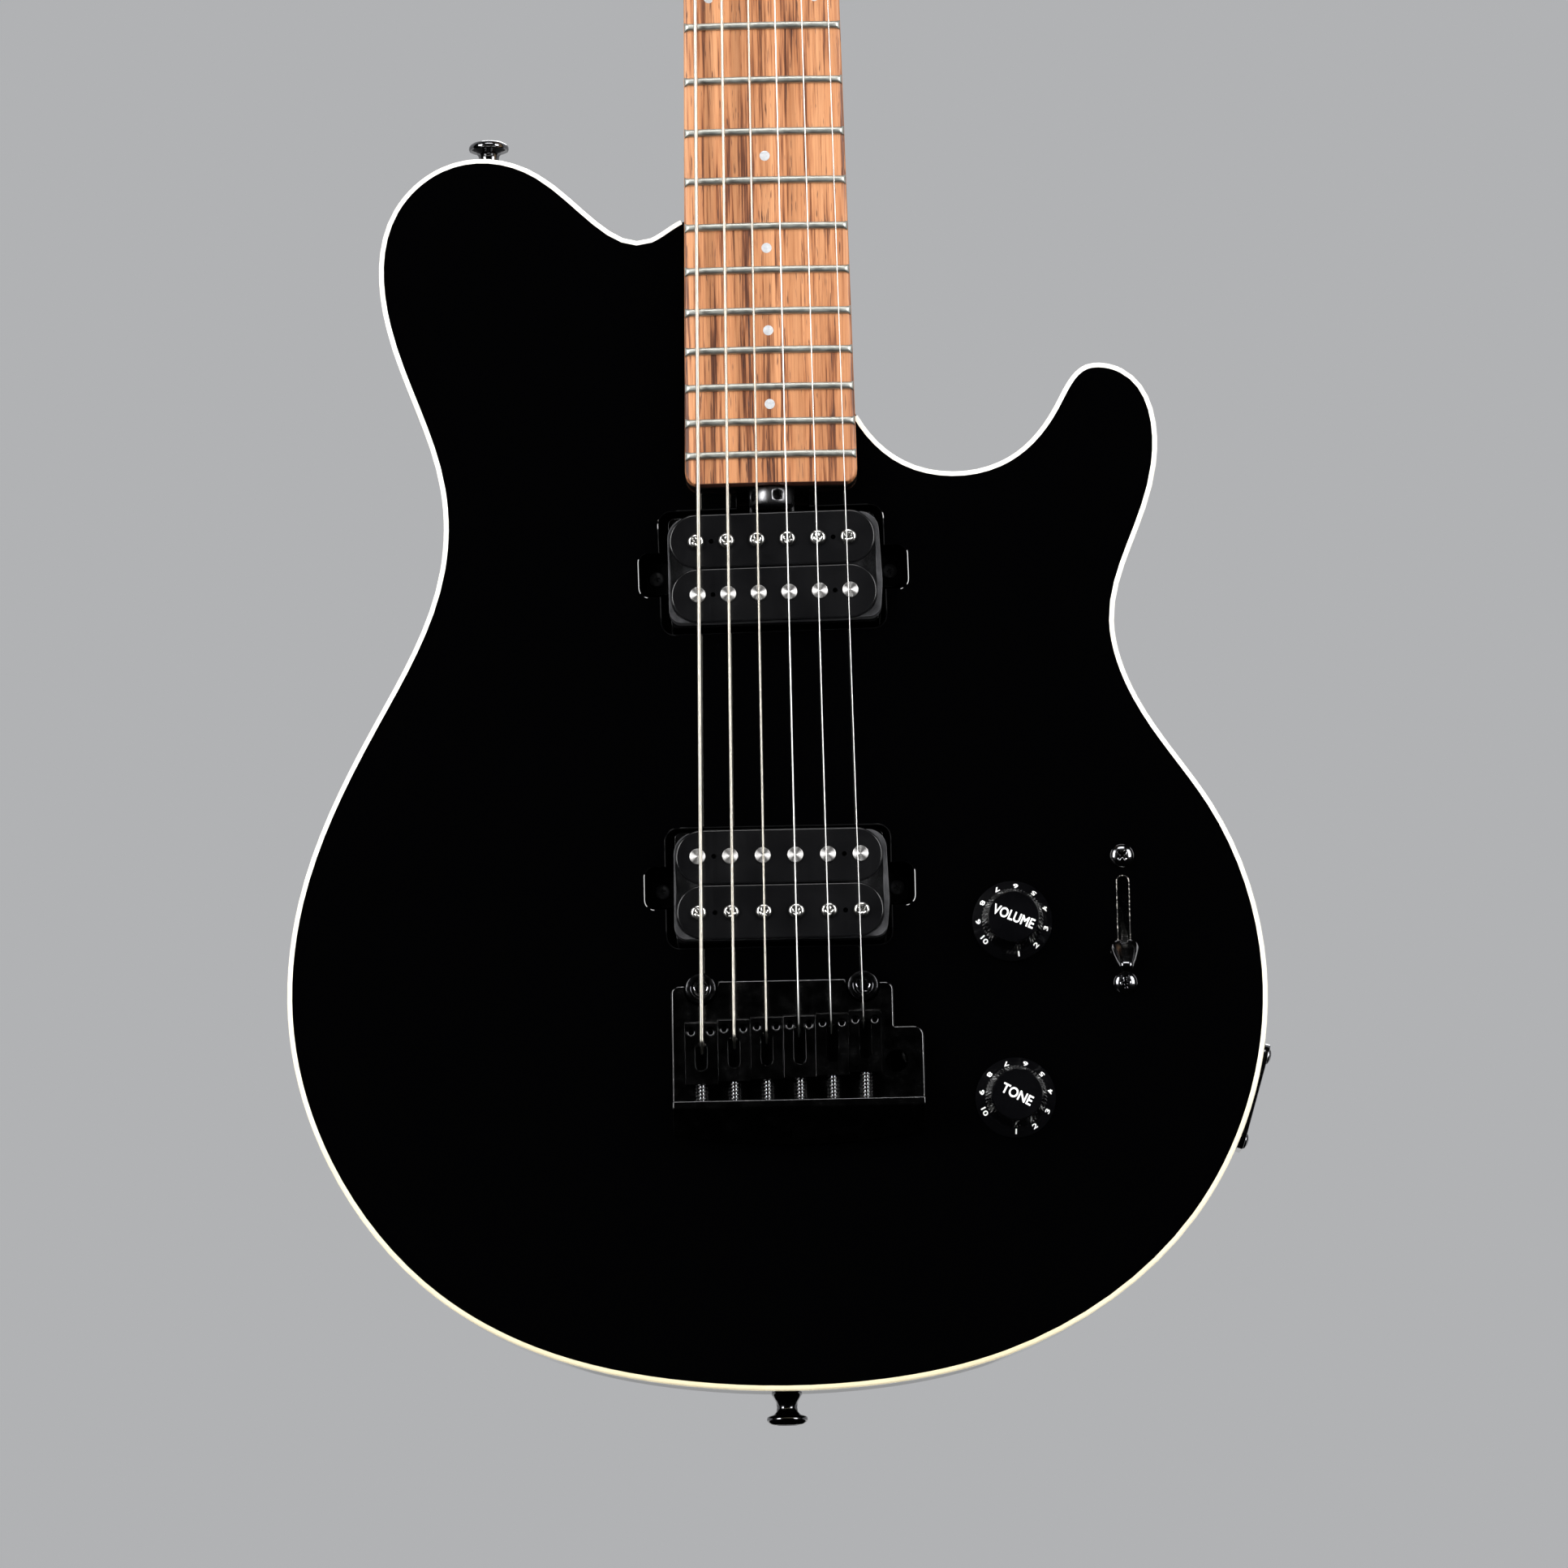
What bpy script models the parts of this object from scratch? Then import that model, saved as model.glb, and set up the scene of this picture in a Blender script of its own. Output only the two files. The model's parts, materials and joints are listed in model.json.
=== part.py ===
"""Solid-body electric guitar with a two-post tremolo, built piece by piece.

Frame: the back of the body is the plane y = 0 and the front faces -Y; +Z runs up the neck and
+X is the treble side. The origin is on the centre line of the back. All constants are in
millimetres and are turned into metres as each mesh is made.
"""

import math

import bmesh
import bpy
import numpy as np
from mathutils import Matrix, Vector

MM = 0.001
GAP = 0.3                     # clearance between pieces that touch

# Body
BODY_THICK = 44.5
FRONT = -BODY_THICK           # y of the body's flat face
BINDING_WIDTH = 1.6
BINDING_DEPTH = 5.3
BACK_ROUND = 4.0
# Anchor points (x, z) of the body's edge, anticlockwise from the heel, joined by a smooth curve
BODY_EDGE = [
    (2.0, 309.0), (-14.0, 320.0), (-24.5, 323.0), (-38.0, 316.0),                 # heel, bass side
    (-74.0, 338.0), (-106.0, 341.0), (-121.5, 327.0), (-124.5, 288.0),            # upper horn
    (-107.5, 234.0), (-108.0, 207.5), (-131.0, 156.0), (-155.0, 100.5),           # bass waist
    (-158.5, 57.5), (-146.5, 15.5), (-112.0, -28.0), (-81.5, -45.5),              # lower bout
    (-32.0, -57.5), (30.0, -58.0), (70.0, -49.5), (131.0, -7.0),                  # end of the body
    (149.5, 27.5), (156.0, 72.5), (140.0, 126.5), (117.0, 161.5),                 # treble bout
    (110.0, 186.5), (125.0, 237.5), (115.0, 269.5), (103.0, 271.0),               # lower horn
    (92.5, 257.5), (74.0, 239.5), (43.5, 240.5), (25.5, 262.5), (19.0, 285.0),    # cutaway, heel
    (2.0, 309.0)]
EDGE_TURN = 9.0               # degrees of turn that one facet of the edge may take
EDGE_REACH = 14.0             # longest facet of the edge

# Scale and neck
SCALE_LENGTH = 647.7
SADDLE_LINE = 60.0            # z where the open strings' scale length ends
NUT_Z = SADDLE_LINE + SCALE_LENGTH
FRET_COUNT = 22
FRET_WIDTH = 2.5
FRET_HEIGHT = 1.1
BOARD_END = 232.4
BOARD_TOP = FRONT - 9.4
BOARD_THICK = 6.0
BOARD_RADIUS = 305.0
BOARD_CORNER = 4.5
NECK_TOP = BOARD_TOP + BOARD_THICK
NECK_END_WIDTH = 55.9
NECK_TAPER = 0.03135          # width lost for each millimetre up the neck
HEEL_FLOOR = -28.5
HEEL_TOP = 316.0
POCKET_TOP = 345.0            # the neck pocket's cutter ends above the body's edge
SHAFT_START = 338.0
SHAFT_THICK = 15.5
SHAFT_THICK_NUT = 14.0
ROD_DEPTH = 4.7               # truss rod's axis below the neck's top
ROD_RADIUS = 2.5
ROD_SLOT = 3.2
WHEEL_RADIUS = 7.4
WHEEL_LOW = 226.3
WHEEL_HIGH = 232.1
WHEEL_HOLES = 5
WHEEL_WELL = (11.7, 222.0, 12.0)     # half width, lower edge and depth in the body
NUT_DEPTH = 3.5

# Headstock, tilted back about the nut
HEAD_TILT = 6.0
HEAD_THICK = 14.0
HEAD_HALF = [(20.4, 0.5), (22.0, 8.0), (30.5, 24.0), (35.0, 50.0), (36.0, 92.0),
             (36.4, 132.0), (31.0, 149.0), (14.0, 158.0), (0.0, 160.5)]
POST_X = 22.0
POST_Z = (38.0, 80.0, 122.0)
POST_RADIUS = 3.0
POST_REST = 8.0               # height of the string on a post above the headstock
BUSH_RADIUS = 5.0
TUNER_CASE = (8.0, 11.0, 11.0)       # half width, half height and depth
KEY_DEPTH = 5.5                      # key's axis inside its case

# Strings, from the treble side: string_1 is the thinnest
STRING_RADII = (0.13, 0.17, 0.22, 0.33, 0.46, 0.58)
SADDLE_PITCH = 10.35
NUT_PITCH = 7.05
STRING_AT_SADDLE = FRONT - 13.4
STRING_AT_NUT = BOARD_TOP - 1.9

# Pickups
NECK_PICKUP = (0.0, 205.6)
BRIDGE_PICKUP = (0.0, 102.4)
NECK_PICKUP_TURN = 0.9        # degrees
BOBBIN_LENGTH = 66.6
BOBBIN_WIDTH = 17.6
BOBBIN_PITCH = 17.8
BOBBIN_TOP = FRONT - 7.2
CAVITY_FLOOR = FRONT + 20.0
BASE_THICK = 1.6
EAR_FLOOR = FRONT + 14.0      # underside of the screw ears below the body's face

# Tremolo
PIVOT_Z = 69.0
PLATE_TOP = FRONT - 6.0
PLATE_THICK = 3.0
PLATE_LEFT, PLATE_RIGHT, PLATE_STEP = -35.5, 45.1, 35.6
PLATE_FRONT_Z, PLATE_STEP_Z = 70.0, 55.8
RIDGE_FRONT_Z, RIDGE_REAR_Z, SKIRT_Z = 32.5, 29.4, 20.4
RIDGE_HEIGHT = 7.6
STUD_X = 26.0
STUD_RADIUS = 4.8
ARM_HOLE = (36.3, 44.6)
ARM_HOLE_RADIUS = 3.35
BLOCK_Z = (36.0, 50.0)
BLOCK_HALF = 33.0
BLOCK_BOTTOM = -11.5
LUG_RIGHT = 42.5
LUG_DEPTH = 18.0
SADDLE_X0 = 0.1
SADDLE_SPACING = 10.5
SADDLE_LENGTH = 20.0
SADDLE_FRONTS = (60.8, 59.9, 59.4, 59.1, 58.6, 57.9)     # z, from the treble side
SADDLE_CRESTS = (58.0, 56.7, 56.0, 54.3, 52.9, 51.4)     # z where each string dives into its slot
SADDLE_LIFT = 0.9             # saddle's underside above the plate
HEIGHT_SCREW_X = 3.1
SLOT_WIDTH = 3.9
SPRING_Z = (50.3, 160.0)
SPRING_XS = (-16.0, 0.0, 16.0)
SPRING_Y = -9.5
SPRING_RADIUS = 4.0
CLAW_HALF = 22.0
CLAW_Z = (161.0, 163.5)

# Controls
VOLUME_AT = (74.5, 89.3)
TONE_AT = (74.2, 32.4)
KNOB_RADIUS = 12.85
KNOB_HEIGHT = 15.5
TOP_SKIN = 6.0                # wood left above the control cavity
POT_RADIUS = 12.0
POT_DEPTH = 10.0
SWITCH_AT = (110.4, 89.2)
SWITCH_PIVOT = FRONT + 16.0
LEVER_LEAN = 24.0             # degrees towards the bridge
SLOT_HALF = (2.0, 14.0)
SWITCH_CASE = (6.5, 23.0, 24.0)      # half width, half height and depth
JACK_AT = (151.7, 32.5)
JACK_TURN = -16.8             # degrees below +X
JACK_Y = -22.0
DISH_RADIUS = 9.0             # bowl in the jack plate that the jack's nut sits in
DISH_DEPTH = 5.2
DISH_WALL = 0.8
COVER_THICK = 2.0
COVER_RECESS = 2.4
COVER_FACE = -0.1
STRAP_UPPER = (-91.2, -22.0, 343.5)
STRAP_END = (-1.1, -22.0, -59.4)


# ---------------------------------------------------------------- materials

def material(name, color, roughness, metallic=0.0):
    """Principled material, made once for each name."""
    existing = bpy.data.materials.get(name)
    if existing:
        return existing
    made = bpy.data.materials.new(name)
    made.use_nodes = True
    shader = made.node_tree.nodes["Principled BSDF"]
    shader.inputs["Base Color"].default_value = (*color, 1.0)
    shader.inputs["Roughness"].default_value = roughness
    shader.inputs["Metallic"].default_value = metallic
    return made


FINISHES = {
    "gloss_black": ((0.004, 0.004, 0.005), 0.06, 0.0),
    "cream_binding": ((0.80, 0.76, 0.66), 0.25, 0.0),
    "maple": ((0.74, 0.50, 0.27), 0.35, 0.0),
    "rosewood": ((0.42, 0.20, 0.10), 0.55, 0.0),
    "bone": ((0.86, 0.82, 0.72), 0.35, 0.0),
    "steel": ((0.62, 0.62, 0.63), 0.28, 1.0),
    "black_metal": ((0.02, 0.02, 0.022), 0.25, 0.8),
    "black_plastic": ((0.012, 0.012, 0.013), 0.35, 0.0),
}


# ---------------------------------------------------------------- outlines

def smooth_curve(points, steps=24):
    """Fine points along the natural cubic spline through the given ones."""
    knots = np.array(points, float)
    spans = np.linalg.norm(np.diff(knots, axis=0), axis=1)
    count = len(knots)
    system = np.eye(count)
    right = np.zeros((count, 2))
    for i in range(1, count - 1):
        system[i, i - 1:i + 2] = spans[i - 1], 2 * (spans[i - 1] + spans[i]), spans[i]
        right[i] = 6 * ((knots[i + 1] - knots[i]) / spans[i] - (knots[i] - knots[i - 1]) / spans[i - 1])
    bend = np.linalg.solve(system, right)
    fine = []
    for i in range(count - 1):
        for t in np.linspace(0, 1, steps, endpoint=False):
            s = 1 - t
            arch = (s ** 3 - s) * bend[i] + (t ** 3 - t) * bend[i + 1]
            fine.append(s * knots[i] + t * knots[i + 1] + spans[i] ** 2 / 6 * arch)
    fine.append(knots[-1])
    return np.array(fine)


def thin_out(fine, turn=EDGE_TURN, reach=EDGE_REACH):
    """Fewer points: a new one only after the curve has turned or run far enough."""
    kept = [0]
    turned = run = 0.0
    for i in range(1, len(fine) - 1):
        before, after = fine[i] - fine[i - 1], fine[i + 1] - fine[i]
        cross = before[0] * after[1] - before[1] * after[0]
        turned += abs(math.degrees(math.atan2(cross, before @ after)))
        run += np.linalg.norm(before)
        if turned > turn or run > reach:
            kept.append(i)
            turned = run = 0.0
    return kept


def loop_normals(loop):
    """Unit normals that point out of an anticlockwise loop seen from the front."""
    along = np.roll(loop, -1, axis=0) - np.roll(loop, 1, axis=0)
    along /= np.linalg.norm(along, axis=1)[:, None]
    return np.column_stack((along[:, 1], -along[:, 0]))


def fillet(corners, segments=4):
    """Outline of corners (x, z, radius) with each one rounded."""
    outline = []
    for i, (x, z, radius) in enumerate(corners):
        here = np.array((x, z), float)
        if radius == 0:
            outline.append((x, z))
            continue
        back = np.array(corners[i - 1][:2]) - here
        ahead = np.array(corners[(i + 1) % len(corners)][:2]) - here
        back /= np.linalg.norm(back)
        ahead /= np.linalg.norm(ahead)
        half = math.acos(float(np.clip(back @ ahead, -1, 1))) / 2
        middle = (back + ahead) / np.linalg.norm(back + ahead)
        centre = here + middle * radius / math.sin(half)
        start = here + back * radius / math.tan(half) - centre
        sweep = math.pi - 2 * half
        if back[0] * ahead[1] - back[1] * ahead[0] > 0:
            sweep = -sweep
        for k in range(segments + 1):
            c, s = math.cos(sweep * k / segments), math.sin(sweep * k / segments)
            outline.append((centre[0] + c * start[0] - s * start[1],
                            centre[1] + s * start[0] + c * start[1]))
    return outline


def rounded_box(x0, x1, z0, z1, radius, segments=4):
    return fillet([(x0, z0, radius), (x1, z0, radius), (x1, z1, radius), (x0, z1, radius)], segments)


def circle(radius, steps):
    return [(radius * math.cos(2 * math.pi * k / steps), radius * math.sin(2 * math.pi * k / steps))
            for k in range(steps)]


# ---------------------------------------------------------------- solids

def solid(name, verts, faces, finish, parent=None):
    """Closed mesh object from points in millimetres, smooth except at its sharp edges."""
    mesh = bpy.data.meshes.new(name)
    mesh.from_pydata([Vector(v) * MM for v in verts], [], faces)
    bm = bmesh.new()
    bm.from_mesh(mesh)
    bmesh.ops.recalc_face_normals(bm, faces=bm.faces)
    bm.to_mesh(mesh)
    bm.free()
    mesh.shade_smooth()
    mesh.set_sharp_from_angle(angle=math.radians(35))
    made = bpy.data.objects.new(name, mesh)
    mesh.materials.append(material(finish, *FINISHES[finish]))
    bpy.context.scene.collection.objects.link(made)
    made.parent = parent
    return made


def loft(name, rings, finish, parent=None):
    """Skin over rings that all have the same number of points, with both ends closed."""
    count = len(rings[0])
    verts = [point for ring in rings for point in ring]
    faces = [list(range(count))[::-1], [(len(rings) - 1) * count + k for k in range(count)]]
    for r in range(len(rings) - 1):
        for k in range(count):
            a, b = r * count + k, r * count + (k + 1) % count
            faces.append([a, b, b + count, a + count])
    return solid(name, verts, faces, finish, parent)


def prism(name, outline, y0, y1, finish="gloss_black", parent=None):
    """Outline in x and z carried from y0 to y1."""
    return loft(name, [[(x, y, z) for x, z in outline] for y in (y0, y1)], finish, parent)


def box(name, low, high, finish="gloss_black", parent=None):
    outline = [(low[0], low[2]), (high[0], low[2]), (high[0], high[2]), (low[0], high[2])]
    return prism(name, outline, low[1], high[1], finish, parent)


def turned(name, profile, finish="black_metal", at=(0, 0, 0), axis=(0, -1, 0), steps=20, parent=None):
    """Turned solid: profile lists (radius, distance along the axis) from one end to the other."""
    rings = [[(x, y, along) for x, y in circle(radius, steps)] for radius, along in profile]
    made = loft(name, rings, finish, parent)
    made.rotation_euler = Vector(axis).to_track_quat("Z", "Y").to_euler()
    made.location = Vector(at) * MM
    return made


def rod(name, points, radius, finish, sides=6):
    """Round wire through the points, with closed ends."""
    curve = bpy.data.curves.new(name, "CURVE")
    curve.dimensions = "3D"
    curve.bevel_depth = radius * MM
    curve.bevel_resolution = (sides - 4) // 2
    curve.use_fill_caps = True
    spline = curve.splines.new("POLY")
    spline.points.add(len(points) - 1)
    for slot, point in zip(spline.points, points):
        slot.co = (*(Vector(point) * MM), 1.0)
    curve.materials.append(material(finish, *FINISHES[finish]))
    made = bpy.data.objects.new(name, curve)
    bpy.context.scene.collection.objects.link(made)
    return made


def combine(target, operation, tools):
    """Add or take away the tools, which stay in the scene as hidden guides."""
    for tool in tools:
        step = target.modifiers.new(operation.lower(), "BOOLEAN")
        step.operation = operation
        step.solver = "EXACT"
        step.object = tool
        tool.hide_render = True
        tool.display_type = "WIRE"
    return target


def cut(target, *tools):
    return combine(target, "DIFFERENCE", tools)


def weld(target, *tools):
    return combine(target, "UNION", tools)


def empty(name, location, rotation=(0, 0, 0)):
    made = bpy.data.objects.new(name, None)
    made.location = Vector(location) * MM
    made.rotation_euler = rotation
    bpy.context.scene.collection.objects.link(made)
    return made


# ---------------------------------------------------------------- neck sizes

def neck_width(z):
    return NECK_END_WIDTH - NECK_TAPER * (z - BOARD_END)


def board_crown(x):
    """How far the fretboard's round top falls away at x."""
    return x * x / (2 * BOARD_RADIUS)


def fret_z(number):
    return SADDLE_LINE + SCALE_LENGTH / 2 ** (number / 12)


def end_narrowing(z):
    """Width lost on each side to the rounded corners at the body end of the neck."""
    into = BOARD_CORNER - (z - BOARD_END)
    if into <= 0:
        return 0.0
    return BOARD_CORNER - math.sqrt(BOARD_CORNER ** 2 - min(into, BOARD_CORNER) ** 2)


# ---------------------------------------------------------------- body

def body_edge():
    """The body's edge as thinned points, with their outward normals."""
    fine = smooth_curve(BODY_EDGE)[:-1]
    normals = loop_normals(fine)
    kept = thin_out(fine)
    return fine[kept], normals[kept]


def pickup_pocket(name, centre, turn, widths, heights, tab_width, tab_heights):
    """Cutter for a pickup's cavity with its two screw tabs."""
    corners = [(widths[0], heights[0], 4), (widths[1], heights[0], 4), (widths[1], tab_heights[0], 0),
               (tab_width, tab_heights[0], 3), (tab_width, tab_heights[1], 3),
               (widths[1], tab_heights[1], 0), (widths[1], heights[1], 4), (widths[0], heights[1], 4),
               (widths[0], tab_heights[1], 0), (-tab_width, tab_heights[1], 3),
               (-tab_width, tab_heights[0], 3), (widths[0], tab_heights[0], 0)]
    made = prism(name, fillet(corners), FRONT - 5, CAVITY_FLOOR)
    made.location = Vector((centre[0], 0, centre[1])) * MM
    made.rotation_euler = (0, -math.radians(turn), 0)
    return made


CONTROL_CAVITY = [(56, 14, 12), (104, 10, 12), (131, 34, 14), (131, 100, 14), (118, 122, 10),
                  (98, 122, 10), (88, 106, 8), (56, 104, 12)]
TREMOLO_CAVITY = (-35.0, 35.0, 24.0, 172.0)
TREMOLO_COVER = (-41.0, 41.0, 18.0, 178.0)


def grown(corners, amount):
    """The corners moved out from their middle by about the amount."""
    xs, zs = [c[0] for c in corners], [c[1] for c in corners]
    mx, mz = (min(xs) + max(xs)) / 2, (min(zs) + max(zs)) / 2
    kx = 1 + 2 * amount / (max(xs) - min(xs))
    kz = 1 + 2 * amount / (max(zs) - min(zs))
    return [(mx + (x - mx) * kx, mz + (z - mz) * kz, r) for x, z, r in corners]


def make_body():
    edge, normals = body_edge()
    wall = BINDING_WIDTH + GAP
    floor = FRONT + BINDING_DEPTH + GAP
    layers = [(0.0, BACK_ROUND), (-0.3 * BACK_ROUND, 0.3 * BACK_ROUND), (-BACK_ROUND, 0.0),
              (floor, 0.0), (floor, wall), (FRONT, wall)]
    rings = [[(x, y, z) for x, z in edge - normals * inset] for y, inset in layers]
    body = loft("body", rings, "gloss_black")

    low, high = BOARD_END - GAP, POCKET_TOP
    half = [neck_width(z) / 2 + GAP for z in (low, high)]
    pocket = prism("neck_pocket", fillet([(-half[0], low, 4.8), (half[0], low, 4.8),
                                          (half[1], high, 0), (-half[1], high, 0)]),
                   FRONT - 5, HEEL_FLOOR + GAP)
    well_half, well_low, well_depth = WHEEL_WELL
    wheel_well = box("wheel_well", (-well_half, FRONT - 5, well_low),
                     (well_half, FRONT + well_depth, BOARD_END + 4))
    neck_cavity = pickup_pocket("neck_cavity", NECK_PICKUP, NECK_PICKUP_TURN,
                                (-36.6, 36.0), (-20.1, 20.1), 43.4, (-7.6, 6.7))
    bridge_cavity = pickup_pocket("bridge_cavity", BRIDGE_PICKUP, 0.0,
                                  (-36.5, 35.8), (-19.5, 19.1), 43.3, (-6.8, 6.8))
    block_slot = prism("block_slot", rounded_box(-34.4, 44, 26, 56.5, 2), FRONT - 5, -10)
    spring_bay = prism("spring_bay", rounded_box(*TREMOLO_CAVITY, 5), -17, 5)
    cover_seat = prism("cover_seat", rounded_box(*TREMOLO_COVER, 7), -COVER_RECESS, 5)
    control_bay = prism("control_bay", fillet(CONTROL_CAVITY), FRONT + TOP_SKIN, 5)
    control_seat = prism("control_seat", fillet(grown(CONTROL_CAVITY, 6)), -COVER_RECESS, 5)
    cut(body, pocket, wheel_well, neck_cavity, bridge_cavity, block_slot, spring_bay, cover_seat,
        control_bay, control_seat)

    for label, (x, z) in (("volume", VOLUME_AT), ("tone", TONE_AT)):
        cut(body, turned(label + "_hole", [(4.2, -8), (4.2, 8)], at=(x, FRONT + 2, z), steps=12))
    x, z = SWITCH_AT
    cut(body, box("lever_slot", (x - SLOT_HALF[0], FRONT - 5, z - SLOT_HALF[1]),
                  (x + SLOT_HALF[0], FRONT + 9, z + SLOT_HALF[1])))
    for side in (-1, 1):
        cut(body, turned("stud_hole", [(4.4, 0), (4.4, 25)], at=(side * STUD_X, FRONT + 20, PIVOT_Z),
                         steps=12))
    along = jack_direction()
    start = Vector((JACK_AT[0], JACK_Y, JACK_AT[1]))
    cut(body, turned("jack_bore", [(10.5, -28), (10.5, 6)], at=start, axis=along, steps=16))
    seat = prism("jack_seat", rounded_box(-13, 13, -19, 19, 6), 0, 8)
    orient_on_rim(seat, -1.0)
    cut(body, seat)
    return body


def jack_direction():
    turn = math.radians(JACK_TURN)
    return Vector((math.cos(turn), 0, math.sin(turn)))


def orient_on_rim(piece, out):
    """Stand a piece made in x and z, thick along y, on the rim: x along the thickness of the body."""
    along = jack_direction()
    across = Vector((0, 1, 0))
    up = along.cross(across)
    turn = Matrix((across, along, up)).transposed()
    centre = Vector((JACK_AT[0], JACK_Y, JACK_AT[1])) + along * out
    piece.matrix_world = Matrix.Translation(centre * MM) @ turn.to_4x4()


def make_binding():
    edge, normals = body_edge()
    clear = [i for i, (x, z) in enumerate(edge) if z < 240 or abs(x) > neck_width(z) / 2 + 1.2]
    rings = []
    for i in clear:
        (x, z), (nx, nz) = edge[i], normals[i]
        inner = (x - nx * BINDING_WIDTH, z - nz * BINDING_WIDTH)
        rings.append([(x, FRONT, z), (x, FRONT + BINDING_DEPTH, z),
                      (inner[0], FRONT + BINDING_DEPTH, inner[1]), (inner[0], FRONT, inner[1])])
    return loft("body_binding", rings, "cream_binding")


# ---------------------------------------------------------------- neck

def neck_ring(z, half, thick, square, steps=12):
    """Flat top and a back that runs from round to nearly square as square grows."""
    ring = [(half, NECK_TOP, z)]
    for k in range(1, steps):
        angle = math.pi * k / steps
        c, s = math.cos(angle), math.sin(angle)
        x = half * math.copysign(abs(c) ** (2 / square), c)
        ring.append((x, NECK_TOP + thick * s ** (2 / square), z))
    ring.append((-half, NECK_TOP, z))
    return ring


def make_neck(head_frame):
    heel = HEEL_FLOOR - NECK_TOP
    stations = [(BOARD_END, heel, 14), (BOARD_END + 1.3, heel, 14), (BOARD_END + 4.5, heel, 14),
                (HEEL_TOP - 12, heel, 14), (HEEL_TOP, heel - 0.6, 8), (HEEL_TOP + 10, heel - 2.4, 4),
                (SHAFT_START, SHAFT_THICK, 2.6), (420.0, SHAFT_THICK, 2.3), (560.0, 14.8, 2.3),
                (NUT_Z - 22, SHAFT_THICK_NUT, 2.3), (NUT_Z - 4, SHAFT_THICK_NUT, 2.5),
                (NUT_Z + 8, SHAFT_THICK_NUT + 0.6, 3.5)]
    rings = [neck_ring(z, neck_width(z) / 2 - end_narrowing(z), thick, square)
             for z, thick, square in stations]
    neck = loft("neck", rings, "maple")

    half = smooth_curve(HEAD_HALF, steps=3)
    outline = [tuple(p) for p in half] + [(-x, z) for x, z in half[-2::-1]]
    blade = prism("headstock", outline, 0, HEAD_THICK, "maple", head_frame)
    weld(neck, blade)
    slot = box("rod_slot", (-ROD_SLOT, NECK_TOP - 2, BOARD_END - 2), (ROD_SLOT, NECK_TOP + 8, 694.0))
    cut(neck, slot)
    for side in (-1, 1):
        for z in POST_Z:
            hole = turned("post_hole", [(BUSH_RADIUS + GAP, -2), (BUSH_RADIUS + GAP, HEAD_THICK + 2)],
                          at=(side * POST_X, 0, z), axis=(0, 1, 0), steps=12, parent=head_frame)
            cut(neck, hole)
    return neck


def make_fretboard():
    rows = []
    bottom = NECK_TOP - GAP
    tops = [(BOARD_END, 0), (BOARD_END + 1.3, 0), (BOARD_END + 4.5, 0)]
    for number in range(FRET_COUNT, 0, -1):
        z = fret_z(number)
        tops += [(z - FRET_WIDTH / 2, 0), (z - 0.4 * FRET_WIDTH, FRET_HEIGHT),
                 (z + 0.4 * FRET_WIDTH, FRET_HEIGHT), (z + FRET_WIDTH / 2, 0)]
    tops.append((NUT_Z - GAP, 0))
    for z, lift in tops:
        half = neck_width(z) / 2 - end_narrowing(z)
        ring = [(-half, bottom, z), (half, bottom, z)]
        for k in range(9):
            x = half * (1 - k / 4)
            ring.append((x, BOARD_TOP + board_crown(x) - lift, z))
        rows.append(ring)
    return loft("fretboard", rows, "rosewood")


def make_nut():
    half = neck_width(NUT_Z) / 2
    outline = []
    for z in (NUT_Z, NUT_Z + NUT_DEPTH):
        drop = 1.2 * (z - NUT_Z) / NUT_DEPTH
        ring = [(-half, NECK_TOP - GAP, z), (half, NECK_TOP - GAP, z)]
        for k in range(7):
            x = half * (1 - k / 3)
            ring.append((x, BOARD_TOP - 1.4 + drop + board_crown(x), z))
        outline.append(ring)
    return loft("nut", outline, "bone")


def make_truss_rod():
    """Rod with its adjusting wheel at the body end, on one axis."""
    y = NECK_TOP + ROD_DEPTH
    profile = [(WHEEL_RADIUS - 0.6, WHEEL_LOW), (WHEEL_RADIUS, WHEEL_LOW + 0.6),
               (WHEEL_RADIUS, WHEEL_HIGH - 0.6), (WHEEL_RADIUS - 0.6, WHEEL_HIGH),
               (ROD_RADIUS, WHEEL_HIGH), (ROD_RADIUS, 690.0)]
    made = turned("truss_rod", profile, "black_metal", at=(0, y, 0), axis=(0, 0, 1), steps=16)
    for number in range(WHEEL_HOLES):
        angle = math.radians(360 / WHEEL_HOLES * number - 75)
        aim = (math.cos(angle), math.sin(angle), 0)
        hole = turned("spoke_hole", [(1.6, 4.2), (1.6, 9)], at=(0, y, (WHEEL_LOW + WHEEL_HIGH) / 2),
                      axis=aim, steps=8)
        cut(made, hole)
    return made


# ---------------------------------------------------------------- strings and tuners

def string_x(index, pitch):
    """x of string index + 1 for a given pitch, from the treble side."""
    return (2.5 - index) * pitch


def post_place(index):
    """Side and height of the tuner of string index + 1 on the headstock."""
    side = 1 if index < 3 else -1
    return side, POST_Z[index] if side > 0 else POST_Z[5 - index]


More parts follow.
